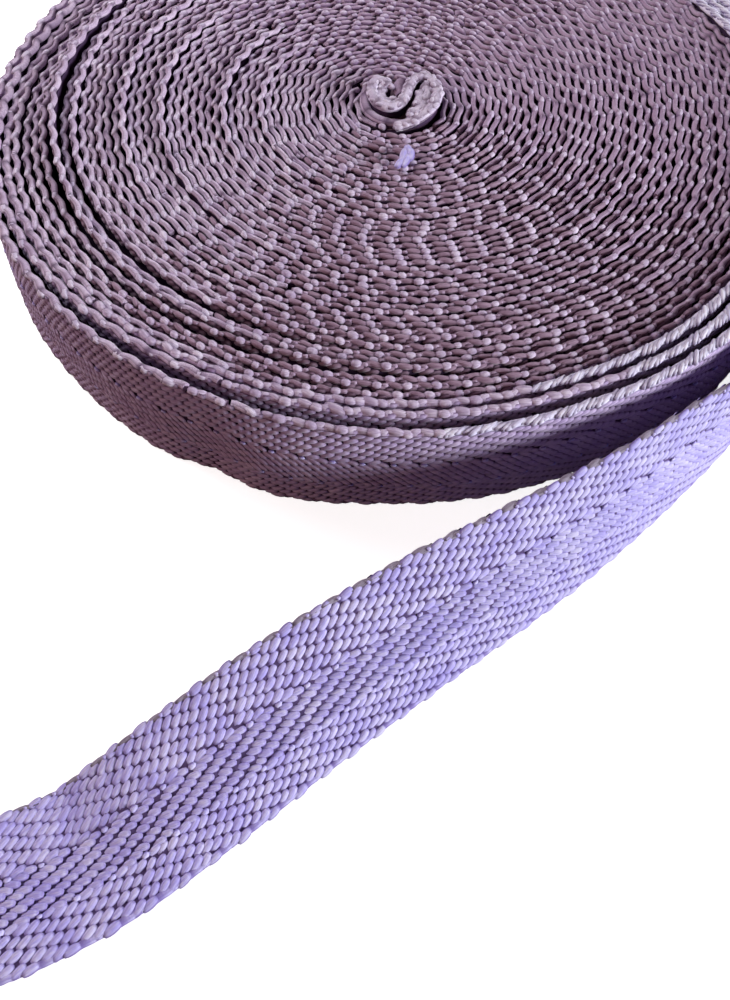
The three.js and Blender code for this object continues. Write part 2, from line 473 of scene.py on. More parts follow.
    def _radius(self, wound: np.ndarray) -> np.ndarray:
        """The radius of the turns' middle: the rim's, then the table's, then evenly inwards."""
        even = self.core_radius + self.pitch * (self.turns - wound)
        stations = np.array([row.at for row in self.table])
        share = (stations - self.leaving) / 360.0
        places, off = [], []
        for turn in range(len(self.table[0].radii)):
            for k, row in enumerate(self.table):
                places.append(turn + 1 + share[k])
                off.append(row.radii[turn])
        last = self.core_radius + self.pitch * (self.turns - np.array(places[-len(stations) :]))
        away = np.array(off[-len(stations) :]) - last
        for turn in range(len(self.table[0].radii), int(self.turns)):
            fade = max(1.0 - (turn + 1 - len(self.table[0].radii)) / self.settling, 0.0)
            for k in range(len(stations)):
                place = turn + 1 + share[k]
                places.append(place)
                off.append(self.core_radius + self.pitch * (self.turns - place) + away[k] * fade)
        inside = np.interp(wound, places, off)
        inside = np.where(wound > places[-1], even, inside)
        rim = self.radius - WEAVE.thickness / 2.0 + read_table(
            self.leaving + 360.0 * np.clip(wound, 0.0, 1.0),
            [row.at for row in self.rim],
            [row.out for row in self.rim],
        )
        first, settled = 1.0, 1.0 + share[0]
        onward = rim[wound <= 1.0][-1]
        lead = np.interp(wound, [first, settled], [onward, off[0]])
        radius = np.where(wound <= first, rim, np.where(wound < settled, lead, inside))
        kernel = np.hanning(self.smoothing)[1:-1]
        padded = np.pad(radius, len(kernel) // 2, mode="edge")
        return np.convolve(padded, kernel / kernel.sum(), mode="valid")


@dataclass(frozen=True)
class PathRow:
    """The webbing's lower edge at one place, and how far it leans towards the roll there."""

    x: float
    y: float
    lean: float


@dataclass
class LooseEnd:
    """The webbing from its free end to where it joins the roll."""

    winding: Winding
    easing_to: float = -46.0
    easing_out: float = 9.2
    easing_power: float = 1.6
    easing_rows: int = 10
    steps: int = 24
    rows: tuple[PathRow, ...] = (
        PathRow(69.4, -71.8, 4.0),
        PathRow(57.4, -84.8, 13.0),
        PathRow(46.1, -95.9, 20.0),
        PathRow(35.4, -105.5, 28.0),
        PathRow(25.3, -113.8, 35.0),
        PathRow(6.7, -128.2, 48.0),
        PathRow(-10.2, -141.8, 61.0),
        PathRow(-25.8, -154.9, 76.0),
        PathRow(-40.4, -166.0, 89.0),
        PathRow(-54.5, -173.6, 90.0),
        PathRow(-69.6, -179.0, 90.0),
    )

    def course(self) -> Course:
        """The run of the loose end, from its free end to the roll."""
        start = self.winding.leaving - math.degrees(self.winding.play / self.winding.radius)
        middle = self.winding.radius + self.winding.rim[0].out - WEAVE.thickness / 2.0
        share = np.arange(self.easing_rows) / self.easing_rows
        at = np.radians(start + (self.easing_to - start) * share)
        radius = middle + self.easing_out * share**self.easing_power
        easing = np.stack([radius * np.cos(at), radius * np.sin(at), np.zeros_like(at)], axis=1)
        rows = np.array([[row.x, row.y, row.lean] for row in self.rows])
        path = smooth_curve(np.vstack([easing, rows]), self.steps)[::-1]
        lean = np.radians(np.clip(path[:, 2], 0.0, 90.0))
        heading = unit(np.gradient(path[:, :2], axis=0))
        to_roll = np.stack([-heading[:, 1], heading[:, 0], np.zeros(len(path))], axis=1)
        up = to_roll * np.sin(lean)[:, None]
        up[:, 2] = np.cos(lean)
        foot = path.copy()
        foot[:, 2] = np.sin(lean) * WEAVE.thickness / 2.0
        middles = foot + up * (WEAVE.width / 2.0)
        steps = np.linalg.norm(np.diff(middles, axis=0), axis=1)
        s = np.concatenate([[0.0], np.cumsum(steps)])
        return Course(s, foot, up, np.full(len(s), WEAVE.width))


@dataclass
class Places:
    """Where yarn goes: its middle, its directions along, across and out, its size and its tone."""

    middle: np.ndarray
    along: np.ndarray
    out: np.ndarray
    size: np.ndarray
    tone: np.ndarray

    def turned(self) -> np.ndarray:
        """The turn of each place, as angles about X, Y and Z."""
        across = unit(np.cross(self.out, self.along))
        out = np.cross(self.along, across)
        about_y = -np.arcsin(np.clip(self.along[:, 2], -1.0, 1.0))
        about_x = np.arctan2(across[:, 2], out[:, 2])
        about_z = np.arctan2(self.along[:, 1], self.along[:, 0])
        return np.stack([about_x, about_y, about_z], axis=1)

    @staticmethod
    def joined(parts: list[Places]) -> Places:
        """Several sets of places as one."""
        names = ("middle", "along", "out", "size", "tone")
        return Places(*(np.concatenate([getattr(part, name) for part in parts]) for name in names))


def mesh_object(
    name: str,
    points: np.ndarray,
    faces: np.ndarray | None = None,
    edges: np.ndarray | None = None,
) -> bpy.types.Object:
    """A mesh object in the scene, from points in millimetres, with faces or edges that index them."""
    mesh = bpy.data.meshes.new(name)
    joined = [] if edges is None else edges.tolist()
    sides = [] if faces is None else faces.tolist()
    mesh.from_pydata((points * MM).tolist(), joined, sides)
    mesh.validate()
    piece = bpy.data.objects.new(name, mesh)
    bpy.context.scene.collection.objects.link(piece)
    return piece


def point_values(mesh: bpy.types.Mesh, key: str, rows: np.ndarray) -> None:
    """Keeps one value or direction at each point of a mesh, under a name."""
    kind, prop = ("FLOAT_VECTOR", "vector") if rows.ndim == 2 else ("FLOAT", "value")
    held = mesh.attributes.new(key, kind, "POINT")
    held.data.foreach_set(prop, np.ascontiguousarray(rows, dtype=np.float32).ravel())


def plain_mesh(name: str, guide: bpy.types.Object) -> bpy.types.Object:
    """Makes a plain mesh of what a guide's modifier builds, and removes the guide."""
    bpy.context.view_layer.update()
    seen = guide.evaluated_get(bpy.context.evaluated_depsgraph_get())
    made = bpy.data.meshes.new_from_object(seen)
    made.name = name
    piece = bpy.data.objects.new(name, made)
    bpy.context.scene.collection.objects.link(piece)
    remove(guide)
    return piece


def remove(used: bpy.types.Object) -> None:
    """Takes an object and its mesh out of the file."""
    data = used.data
    bpy.data.objects.remove(used)
    bpy.data.meshes.remove(data)


@dataclass(frozen=True)
class YarnShape:
    """A short stretch of yarn, 1 long, 1 wide and 1 high, rounded at both ends.

    A half shape is open along its middle, to lie on a face. bend moves its ends across, fullest is
    how far along it is at its widest, and below 1 blunt makes its ends fuller.
    """

    name: str
    rings: int
    sides: int
    half: bool = True
    bend: float = 0.0
    fullest: float = 0.5
    blunt: float = 0.8

    def build(self) -> bpy.types.Object:
        """The shape as an object, with a UV map that runs along it and round it."""
        sweep = np.pi * (np.arange(self.rings) + 1.0) / (self.rings + 1.0)
        share = ((1.0 - np.cos(sweep)) / 2.0) ** (math.log(self.fullest) / math.log(0.5))
        full = np.sin(sweep) ** self.blunt
        count = self.sides + 1 if self.half else self.sides
        angle = np.arange(count) * (np.pi if self.half else 2.0 * np.pi) / self.sides
        bend = self.bend * (2.0 * share - 1.0) ** 2
        y = 0.5 * np.cos(angle)[None, :] * full[:, None] + bend[:, None]
        height = np.sin(angle)[None, :] * full[:, None]
        z = height if self.half else 0.5 * height
        x = np.repeat((share - 0.5)[:, None], count, axis=1)
        body = np.stack([x, y, z], axis=2).reshape(-1, 3)
        tips = np.array([[-0.5, self.bend, 0.0], [0.5, self.bend, 0.0]])
        piece = mesh_object(self.name, np.vstack([body, tips]) / MM)
        self._skin(piece.data, count)
        return piece

    def _skin(self, mesh: bpy.types.Mesh, count: int) -> None:
        """Gives the shape its faces and its UV map."""
        work = bmesh.new()
        work.from_mesh(mesh)
        work.verts.ensure_lookup_table()
        verts = list(work.verts)
        start_tip, end_tip = verts[-2], verts[-1]
        last = count * (self.rings - 1)
        for k in range(count - 1 if self.half else count):
            after = (k + 1) % count
            work.faces.new((start_tip, verts[after], verts[k]))
            work.faces.new((end_tip, verts[last + k], verts[last + after]))
            for ring in range(0, last, count):
                corners = (ring + k, ring + after, ring + count + after, ring + count + k)
                work.faces.new(tuple(verts[c] for c in corners))
        threads = work.loops.layers.uv.new("UVMap")
        for face in work.faces:
            face.smooth = True
            for loop in face.loops:
                place = loop.vert.index
                on_body = place < count * self.rings
                around = (place % count) / max(count - 1, 1) if on_body else 0.5
                loop[threads].uv = (loop.vert.co.x + 0.5, around)
        work.to_mesh(mesh)
        work.free()


class Wiring:
    """Adds nodes to a node tree and joins them."""

    def __init__(self, tree: bpy.types.NodeTree) -> None:
        """Keeps the tree's nodes and links."""
        self.nodes, self.links = tree.nodes, tree.links

    def node(
        self, kind: str, values: dict[str | int, object] | None = None, **settings: str
    ) -> bpy.types.Node:
        """Adds a node.

        Args:
            kind: the node's type.
            values: its inputs' own values, by the input's name or number.
            settings: its settings, such as its operation.

        Returns:
            The node.
        """
        node = self.nodes.new(kind)
        for name, setting in settings.items():
            setattr(node, name, setting)
        for key, value in (values or {}).items():
            node.inputs[key].default_value = value
        return node

    def join(self, *runs: tuple[bpy.types.Node, str | int, bpy.types.Node, str | int]) -> None:
        """Joins outputs to inputs: each run is a node, its output, the next node and its input."""
        for source, out, target, into in runs:
            self.links.new(source.outputs[out], target.inputs[into])


class NodeTool:
    """A Geometry Nodes tree with named inputs, which a modifier runs on a guide mesh."""

    def __init__(self, label: str, sockets: dict[str, str]) -> None:
        """Builds the node tree, once.

        Args:
            label: the tree's name.
            sockets: the kind of each input, by its name.
        """
        self.tree = bpy.data.node_groups.new(label, "GeometryNodeTree")
        face = self.tree.interface
        face.new_socket("Geometry", in_out="INPUT", socket_type="NodeSocketGeometry")
        for name, kind in sockets.items():
            face.new_socket(name, in_out="INPUT", socket_type=f"NodeSocket{kind}")
        face.new_socket("Geometry", in_out="OUTPUT", socket_type="NodeSocketGeometry")
        self.inputs = {item.name: item.identifier for item in face.items_tree if item.in_out == "INPUT"}

    def make(self, name: str, guide: bpy.types.Object, values: dict[str, object]) -> bpy.types.Object:
        """Runs the tree on a guide, which it uses up.

        Args:
            name: the piece's name.
            guide: the mesh that it works on.
            values: what its inputs are set to, by name.

        Returns:
            The piece, a plain mesh.
        """
        modifier = guide.modifiers.new("Yarn", "NODES")
        modifier.node_group = self.tree
        for key, value in values.items():
            modifier[self.inputs[key]] = value
        return plain_mesh(name, guide)


class YarnField(NodeTool):
    """Sets one yarn shape out over many places, as a plain mesh."""

    plumpness_varies: float = 0.05

    def __init__(self) -> None:
        """Builds the node tree, once."""
        sockets = {"Yarn": "Object", "Plumpness varies by": "Float", "Seed": "Int", "Finish": "Material"}
        super().__init__("Yarn set out", sockets)
        self._wire()

    def _wire(self) -> None:
        """Places the nodes and joins them."""
        add = Wiring(self.tree)
        given, result = add.node("NodeGroupInput"), add.node("NodeGroupOutput")
        source = add.node("GeometryNodeObjectInfo", {"As Instance": True})
        held = "GeometryNodeInputNamedAttribute"
        turn = add.node(held, {"Name": "turn"}, data_type="FLOAT_VECTOR")
        size = add.node(held, {"Name": "size"}, data_type="FLOAT_VECTOR")
        to_rotation = add.node("FunctionNodeEulerToRotation")
        vary = add.node("FunctionNodeRandomValue", data_type="FLOAT")
        more = add.node("ShaderNodeMath", {0: 1.0}, operation="ADD")
        less = add.node("ShaderNodeMath", {0: 1.0}, operation="SUBTRACT")
        scale = add.node("ShaderNodeVectorMath", operation="SCALE")
        spread = add.node("GeometryNodeInstanceOnPoints")
        realize = add.node("GeometryNodeRealizeInstances")
        dress = add.node("GeometryNodeSetMaterial")
        low, high = [s for s in vary.inputs if s.enabled and s.name in ("Min", "Max")]
        add.links.new(less.outputs[0], low)
        add.links.new(more.outputs[0], high)
        for node, target, into in ((size, scale, 0), (vary, scale, "Scale"), (turn, to_rotation, 0)):
            shown = next(s for s in node.outputs if s.enabled)
            add.links.new(shown, target.inputs[into])
        add.join(
            (given, "Yarn", source, "Object"),
            (given, "Plumpness varies by", more, 1),
            (given, "Plumpness varies by", less, 1),
            (given, "Seed", vary, "Seed"),
            (given, "Geometry", spread, "Points"),
            (source, "Geometry", spread, "Instance"),
            (to_rotation, 0, spread, "Rotation"),
            (scale, "Vector", spread, "Scale"),
            (spread, "Instances", realize, "Geometry"),
            (realize, "Geometry", dress, "Geometry"),
            (given, "Finish", dress, "Material"),
            (dress, "Geometry", result, "Geometry"),
        )

    def spread(
        self, name: str, shape: YarnShape, places: Places, finish: bpy.types.Material, seed: int
    ) -> bpy.types.Object:
        """Makes one mesh of a shape at many places.

        Args:
            name: the piece's name.
            shape: the yarn's shape.
            places: where it goes.
            finish: its material.
            seed: for how plump each one is.

        Returns:
            The piece, a plain mesh.
        """
        yarn = shape.build()
        guide = mesh_object(f"{name}_places", places.middle)
        point_values(guide.data, "turn", places.turned())
        point_values(guide.data, "size", places.size * MM)
        point_values(guide.data, "tone", places.tone)
        values = {
            "Yarn": yarn,
            "Plumpness varies by": self.plumpness_varies,
            "Seed": seed,
            "Finish": finish,
        }
        piece = self.make(name, guide, values)
        remove(yarn)
        return piece


class CordField(NodeTool):
    """Runs a cord along a line of points, as a plain mesh."""

    def __init__(self) -> None:
        """Builds the node tree, once."""
        sockets = {"Width": "Float", "Height": "Float", "Sides": "Int", "Finish": "Material"}
        super().__init__("Cord along a line", sockets)
        self._wire()

    def _wire(self) -> None:
        """Places the nodes and joins them."""
        add = Wiring(self.tree)
        given, result = add.node("NodeGroupInput"), add.node("NodeGroupOutput")
        line = add.node("GeometryNodeMeshToCurve")
        upright = add.node("GeometryNodeSetCurveNormal", mode="Z_UP")
        circle = add.node("GeometryNodeCurvePrimitiveCircle", {"Radius": 0.5})
        sizes = add.node("ShaderNodeCombineXYZ", {"Z": 1.0})
        oval = add.node("GeometryNodeTransform")
        around = add.node("GeometryNodeSplineParameter")
        keep = add.node("GeometryNodeCaptureAttribute")
        keep.capture_items.new("FLOAT", "Around")
        sweep = add.node("GeometryNodeCurveToMesh", {"Fill Caps": True})
        along = add.node("GeometryNodeInputNamedAttribute", {"Name": "along"}, data_type="FLOAT")
        place = add.node("ShaderNodeCombineXYZ")
        store = add.node(
            "GeometryNodeStoreNamedAttribute", {"Name": "UVMap"}, data_type="FLOAT2", domain="CORNER"
        )
        smooth = add.node("GeometryNodeSetShadeSmooth")
        dress = add.node("GeometryNodeSetMaterial")
        add.join(
            (given, "Geometry", line, "Mesh"),
            (line, "Curve", upright, "Curve"),
            (given, "Sides", circle, "Resolution"),
            (given, "Width", sizes, "X"),
            (given, "Height", sizes, "Y"),
            (circle, "Curve", oval, "Geometry"),
            (sizes, "Vector", oval, "Scale"),
            (oval, "Geometry", keep, "Geometry"),
            (around, "Factor", keep, "Around"),
            (upright, "Curve", sweep, "Curve"),
            (keep, "Geometry", sweep, "Profile Curve"),
            (along, "Attribute", place, "X"),
            (keep, "Around", place, "Y"),
            (sweep, "Mesh", store, "Geometry"),
            (place, "Vector", store, "Value"),
            (store, "Geometry", smooth, "Geometry"),
            (smooth, "Geometry", dress, "Geometry"),
            (given, "Finish", dress, "Material"),
            (dress, "Geometry", result, "Geometry"),
        )

    def run(self, name: str, line: CordLine, finish: bpy.types.Material) -> bpy.types.Object:
        """Makes one cord.

        Args:
            name: the piece's name.
            line: where it runs and how thick it is.
            finish: its material.

        Returns:
            The piece, a plain mesh.
        """
        edges = np.stack([line.joined, line.joined + 1], axis=1)
        guide = mesh_object(f"{name}_line", line.points, edges=edges)
        point_values(guide.data, "along", line.along)
        point_values(guide.data, "tone", line.tone)
        values = {
            "Width": line.width * MM,
            "Height": line.height * MM,
            "Sides": line.sides,
            "Finish": finish,
        }
        return self.make(name, guide, values)


@dataclass
class CordLine:
    """Where a cord runs, how far along the weave's repeats, its tone, and how thick it is.

    joined holds the places from which it runs on to the next one.
    """

    points: np.ndarray
    along: np.ndarray
    tone: np.ndarray
    joined: np.ndarray
    width: float
    height: float
    sides: int


@dataclass(frozen=True)
class Bead:
    """A stretch of yarn that shows once in each repeat of a selvedge.

    offset is its place in the repeat, inset how far its middle lies in from the edge, swing how far
    out towards the outer face, size its length, width and height, yaw how far it turns to the outer
    face and dip how far it goes down towards the roll, both in degrees. It shows from one direction
    round to another.
    """

    name: str
    rings: int
    sides: int
    bend: float
    offset: float
    inset: float
    swing: float
    size: tuple[float, float, float]
    yaw: float
    dip: float
    look: Look
    shows: tuple[float, float] = WHOLE_TURN

    def shape(self, edge: Edge) -> YarnShape:
        """Its shape on an edge."""
        bend = self.bend * edge.value
        return YarnShape(self.name, self.rings, self.sides, half=False, bend=bend, blunt=0.9)


@dataclass(frozen=True)
class Cord:
    """The cord that the yarns of a selvedge make, which weaves from face to face once a repeat.

    inset is how far its middle lies in from the edge, swing how far it goes out towards each face,
    and heave how far it goes up and down. It shows from one direction round to another.
    """

    name: str
    inset: float
    swing: float
    heave: float
    width: float
    height: float
    per_repeat: int
    sides: int
    look: Look
    shows: tuple[float, float] = WHOLE_TURN


# Each yarn of the edge shows from one direction round to another, where the photograph has it, and its look
# paints the light or shade that falls there: the pale crests on the left are painted light, and the maroon
# and shaded yarns painted shade.
LEFT = (140.0, 236.0)
FRONT = (236.0, 325.0)
RIGHT = (325.0, 55.0)
BACK = (55.0, 140.0)
WOUND_BEADS = (
    Bead("crest", 4, 6, 0.0, 0.2, 0.6, 0.26, (2.5, 1.4, 1.4), 14.0, -2.0, Look.PALE, LEFT),
    Bead("right_crest", 4, 6, 0.0, 0.2, 0.6, 0.24, (2.4, 1.3, 1.35), 14.0, -2.0, Look.EDGE, RIGHT),
    Bead("egg", 4, 6, 0.0, 0.0, 0.68, 0.22, (2.1, 1.56, 1.5), 6.0, -3.0, Look.EDGE, FRONT),
    Bead("back_egg", 4, 6, 0.0, 0.0, 0.68, 0.22, (2.1, 1.56, 1.5), 6.0, -3.0, Look.EDGE, BACK),
    Bead("leaf", 4, 5, -0.03, 3.45, 0.72, -0.08, (3.5, 1.36, 1.36), 13.0, -3.0, Look.SHADED, BACK),
    Bead("front_leaf", 4, 5, -0.03, 3.45, 0.74, -0.08, (3.5, 1.3, 1.36), 13.0, -3.0, Look.MAROON, FRONT),
    Bead("dot", 2, 4, 0.0, 1.55, 0.74, 0.1, (1.2, 0.95, 1.0), 0.0, 0.0, Look.SHADED, FRONT),
    Bead("back_dot", 2, 4, 0.0, 1.55, 0.74, 0.1, (1.2, 0.95, 1.0), 0.0, 0.0, Look.SHADED, BACK),
)
WOUND_TOP = (
    Cord("cord", 0.88, 0.24, 0.08, 1.1, 1.1, 5, 4, Look.MAROON, FRONT),
    Cord("back_cord", 0.88, 0.24, 0.08, 1.1, 1.1, 5, 4, Look.MAROON, BACK),
    Cord("right_wave", 0.8, 0.29, 0.16, 1.28, 1.3, 8, 6, Look.SHADED, RIGHT),
    Cord("wave", 0.8, 0.29, 0.16, 1.28, 1.3, 8, 6, Look.WAVE, LEFT),
)
WOUND_FOOT = (Cord("cord", 0.6, 0.3, 0.05, 1.3, 1.1, 4, 4, Look.SHADED),)
RIM_LEFT = (100.0, 240.0)
RIM_FRONT = (240.0, 285.0)
RIM_RIGHT = (285.0, 100.0)
# Over the rim, the pale crests on the left and the white leaves and cord on the right are painted light,
# where the low lamp falls on them; the front cord is painted shade.
RIM_BEADS = (
    Bead("crest", 5, 6, 0.0, 0.3, 0.62, 0.36, (2.9, 1.6, 1.45), 10.0, -2.0, Look.PALE, RIM_LEFT),
    Bead("egg", 5, 6, 0.0, 0.0, 0.66, 0.26, (2.5, 1.8, 1.6), 8.0, -3.0, Look.EDGE, RIM_FRONT),
    Bead("small", 4, 6, 0.04, 1.6, 0.74, 0.0, (2.3, 1.4, 1.35), -14.0, 0.0, Look.EDGE, RIM_FRONT),
    Bead("leaf", 5, 6, -0.04, 3.5, 0.7, -0.1, (3.5, 1.6, 1.45), 14.0, -3.0, Look.EDGE, RIM_FRONT),
    Bead("over_a", 4, 6, 0.0, 0.0, 0.62, 0.16, (3.5, 1.1, 1.15), -27.0, -2.0, Look.WHITE, RIM_RIGHT),
    Bead("over_b", 4, 6, 0.0, 0.94, 0.6, 0.34, (3.7, 1.1, 1.2), -27.0, 0.0, Look.WHITE, RIM_RIGHT),
    Bead("over_c", 4, 6, 0.0, 1.88, 0.6, 0.4, (3.7, 1.15, 1.2), -27.0, 0.0, Look.WHITE, RIM_RIGHT),
    Bead("over_d", 4, 6, 0.0, 2.82, 0.62, 0.26, (3.7, 1.1, 1.2), -27.0, 0.0, Look.WHITE, RIM_RIGHT),
    Bead("over_e", 4, 6, 0.0, 3.76, 0.64, 0.02, (3.6, 1.1, 1.15), -26.0, 2.0, Look.WHITE, RIM_RIGHT),
    Bead("over_f", 4, 6, 0.0, 4.7, 0.68, -0.16, (3.3, 1.05, 1.1), -25.0, 2.0, Look.WHITE, RIM_RIGHT),
)
RIM_TOP = (
    Cord("wave", 0.78, 0.36, 0.12, 1.8, 1.5, 8, 6, Look.WAVE, RIM_LEFT),
    Cord("front_cord", 1.0, 0.1, 0.0, 1.7, 1.3, 8, 6, Look.SHADED, RIM_FRONT),
    Cord("right_cord", 1.0, 0.1, 0.0, 1.8, 1.3, 8, 6, Look.WHITE, RIM_RIGHT),
)
# The loose end's top edge: the dark grey look of its arcs and cord is painted shade along that edge.
LOOSE_BEADS = (
    Bead("dot", 3, 6, 0.0, 4.1, 0.78, 0.42, (0.85, 0.75, 0.75), 0.0, 0.0, Look.FACE),
    Bead("arc", 5, 6, -0.06, 2.95, 0.66, -0.12, (3.6, 1.3, 1.2), -4.0, 0.0, Look.DEEP),
)
LOOSE_TOP = (Cord("cord", 0.85, 0.12, 0.0, 1.2, 1.25, 8, 6, Look.DEEP),)
LOOSE_FOOT = (Cord("cord", 0.66, 0.05, 0.0, 1.4, 1.3, 8, 6, Look.FACE),)
# The folded start stands proud in the light: the pale look of its beads and cords is painted light.
FOLD_BEADS = (
    Bead("outer_a", 4, 6, 0.0, 0.0, 0.74, 0.7, (2.0, 1.4, 1.3), 18.0, 0.0, Look.PALE),
    Bead("outer_b", 4, 6, 0.0, 1.9, 0.8, 0.62, (2.2, 1.3, 1.3), -12.0, 0.0, Look.PALE),
    Bead("outer_c", 4, 6, 0.0, 3.8, 0.72, 0.66, (2.1, 1.4, 1.3), 24.0, 0.0, Look.PALE),
    Bead("inner_a", 4, 6, 0.0, 1.0, 0.72, -0.55, (2.2, 1.4, 1.3), -22.0, 0.0, Look.PALE),
    Bead("inner_b", 4, 6, 0.0, 2.9, 0.78, -0.62, (2.0, 1.3, 1.3), 16.0, 0.0, Look.PALE),
    Bead("inner_c", 4, 6, 0.0, 4.8, 0.74, -0.58, (2.2, 1.4, 1.2), -12.0, 0.0, Look.PALE),
)
# Where a cord lies between the two faces along one repeat: the places, and its swing at each.
CORD_WAVE = ((0.0, 0.15, 0.4, 0.6, 1.0), (1.0, 0.7, -0.9, -0.8, 1.0))
FOLD_TOP = (Cord("cord", 1.1, 0.0, 0.0, 2.5, 2.0, 20, 8, Look.PALE),)
# Inside the fold, the arc's wave look paints shade on its flanks and a highlight on top, and the lump's
# shaded look paints shade.
ARC_TOP = (Cord("cord", 2.9, 0.0, 0.0, 2.3, 1.8, 20, 8, Look.WAVE),)
LUMP_TOP = (Cord("cord", 1.5, 0.0, 0.0, 2.6, 2.0, 20, 8, Look.SHADED),)


def seen_from(foot: np.ndarray, shows: tuple[float, float]) -> np.ndarray:
    """Which places lie between two directions from the roll's middle.

    Args:
        foot: the places.
        shows: the two directions. Each turn's border strays from them, so no straight one shows.

    Returns:
        Whether each place lies there.
    """
    strays, strays_every = 15.0, 1.45
    start, end = shows
    radius = np.hypot(foot[:, 0], foot[:, 1])
    at = np.degrees(np.arctan2(foot[:, 1], foot[:, 0])) + strays * np.sin(strays_every * radius)
    return (at - start) % 360.0 < ((end - start) % 360.0 or 360.0)


def slip(s: np.ndarray) -> np.ndarray:
    """How far the weave has slipped along the webbing, at distances along it."""
    short, long = 31.0, 83.0
    return 1.1 * np.sin(s / short) + 0.8 * np.sin(s / long + 1.0)


@dataclass
class Weaver:
    """Works out where the yarns of a stretch of webbing lie.

    slipping is the share of the weave's slip along the webbing. jitter is how far a yarn strays, in
    millimetres, lean_jitter in degrees, and the other two as shares of a yarn's size.
    """

    course: Course
    seed: int
    slipping: float = 0.0
    jitter: float = 0.05
    lean_jitter: float = 2.5
    size_jitter: float = 0.05
    bead_jitter: float = 0.07

    def floats(self, face: Face, rows: range, sunk: float) -> Places:
        """The warp floats on one face.

        Args:
            face: which face.
            rows: the warp yarns, counted from the top edge.
            sunk: how far the floats' flat side lies under the webbing's face.

        Returns:
            Their places.
        """
        chance = np.random.default_rng(self.seed + 7 * face.value)
        parts = []
        row, phase = 0, 0.0
        for band in WEAVE.bands:
            for yarn in range(band.yarns):
                if row in rows:
                    height = band.top - (yarn + 0.5) * band.spacing
                    other_face = 0.0 if face is Face.OUTER else 2.0 * WEAVE.pick
                    s = self.course.repeats((phase + other_face) % WEAVE.repeat)
                    lean = band.lean * (WEAVE.edge_lean if yarn in (0, band.yarns - 1) else 1.0)
                    parts.append(self._row(chance, face, band, s, (height, lean, sunk)))
                row += 1
                phase += band.slant.value * WEAVE.pick
        return Places.joined(parts)

    def _row(
        self,
        chance: np.random.Generator,
        face: Face,
        band: Band,
        s: np.ndarray,
        lie: tuple[float, float, float],
    ) -> Places:
        """The floats of one warp yarn, from its height, its lean and how far it is sunk."""
        height, lean, sunk = lie
        count = len(s)
        foot, along, up, out, width = self.course.at(s + chance.normal(0.0, self.jitter, count))
        rise = height * width / WEAVE.width + chance.normal(0.0, self.jitter, count)
        out = out * face.value
        middle = foot + up * rise[:, None] + out * (WEAVE.thickness / 2.0 - sunk)
        turned = np.radians(lean + chance.normal(0.0, self.lean_jitter, count))
        lift = math.radians(band.lift)
        axis = along * np.cos(turned)[:, None] + up * np.sin(turned)[:, None]
        raised = axis * math.cos(lift) + out * math.sin(lift)
        size = np.tile([band.length, band.plump, sunk], (count, 1))
        size *= 1.0 + chance.normal(0.0, self.size_jitter, (count, 1))
        return Places(middle, raised, out, size, chance.random(count))

    def knots(self, face: Face) -> Places:
        """The small stitches where one band of the herringbone meets the next."""
        chance = np.random.default_rng(self.seed + 13 * face.value)
        first, second = WEAVE.bands[0], WEAVE.bands[1]
        turns = first.yarns * WEAVE.pick
        back = turns - second.yarns * WEAVE.pick
        parts = []
        for knot, turning in zip(BAND_KNOTS, (turns, back)):
            s = self.course.repeats((turning + knot.onward) % WEAVE.repeat)
            count = len(s)
            foot, along, up, out, _ = self.course.at(s + chance.normal(0.0, self.jitter, count))
            out = out * face.value
            middle = foot + up * knot.height + out * knot.out
            varied = 1.0 + chance.normal(0.0, knot.varies, (count, 1))
            size = np.tile(knot.size, (count, 1)) * varied
            parts.append(Places(middle, along, out, size, np.full(count, knot.tone)))
        return Places.joined(parts)

    def selvedge(self, edge: Edge, bead: Bead) -> Places:
        """One kind of yarn along a selvedge, once in each repeat.

        Args:
            edge: the top or the foot.
            bead: the yarn.

        Returns:
            Its places.
        """
        chance = np.random.default_rng(self.seed + int(100 * bead.offset) + 3 * edge.value)
        s = self.course.repeats(bead.offset)
        count = len(s)
        s = s + self.slipping * slip(s) + chance.normal(0.0, 1.6 * self.jitter, count)
        foot, along, up, out, width = self.course.at(s)
        rise = width - bead.inset if edge is Edge.TOP else np.full(count, bead.inset)
        rise = rise + chance.normal(0.0, 1.2 * self.jitter, count)
        swing = bead.swing + chance.normal(0.0, self.jitter, count)
        middle = foot + up * rise[:, None] + out * swing[:, None]
        yaw = np.radians(bead.yaw + chance.normal(0.0, 2.0 * self.lean_jitter, count))
        dip = math.radians(-bead.dip) * edge.value
        axis = along * np.cos(yaw)[:, None] + out * np.sin(yaw)[:, None] + up * math.sin(dip)
        size = np.array(bead.size) * (1.0 + chance.normal(0.0, self.bead_jitter, count))[:, None]
        seen = seen_from(foot, bead.shows)
        tone = chance.random(count)
        return Places(middle[seen], unit(axis)[seen], up[seen] * edge.value, size[seen], tone[seen])

    def cord(self, edge: Edge, cord: Cord) -> CordLine:
        """The cord along a selvedge: slowly out from the inner face, then quickly back.

        Args:
            edge: the top or the foot.
            cord: the cord.

        Returns:
            Its line.
        """
        chance = np.random.default_rng(self.seed + 17 * edge.value)
        step = WEAVE.repeat / cord.per_repeat
        s = np.arange(self.course.s[0] + step, self.course.s[-1], step)
        phase = s / WEAVE.repeat
        wave = np.interp(phase % 1.0, *CORD_WAVE)
        foot, along, up, out, width = self.course.at(s + self.slipping * slip(s))
        inset = cord.inset - cord.heave * wave + chance.normal(0.0, 0.6 * self.jitter, len(s))
        rise = width - inset if edge is Edge.TOP else inset
        swing = cord.swing * wave + chance.normal(0.0, 0.6 * self.jitter, len(s))
        points = foot + up * rise[:, None] + out * swing[:, None]
        tone = drifting(len(s), every=4, size=0.3, seed=self.seed) + 0.4
        kept = np.flatnonzero(seen_from(foot, cord.shows))
        joined = np.flatnonzero(np.diff(kept) == 1)
        size = (cord.width, cord.height, cord.sides)
        return CordLine(points[kept], phase[kept], tone[kept], joined, *size)


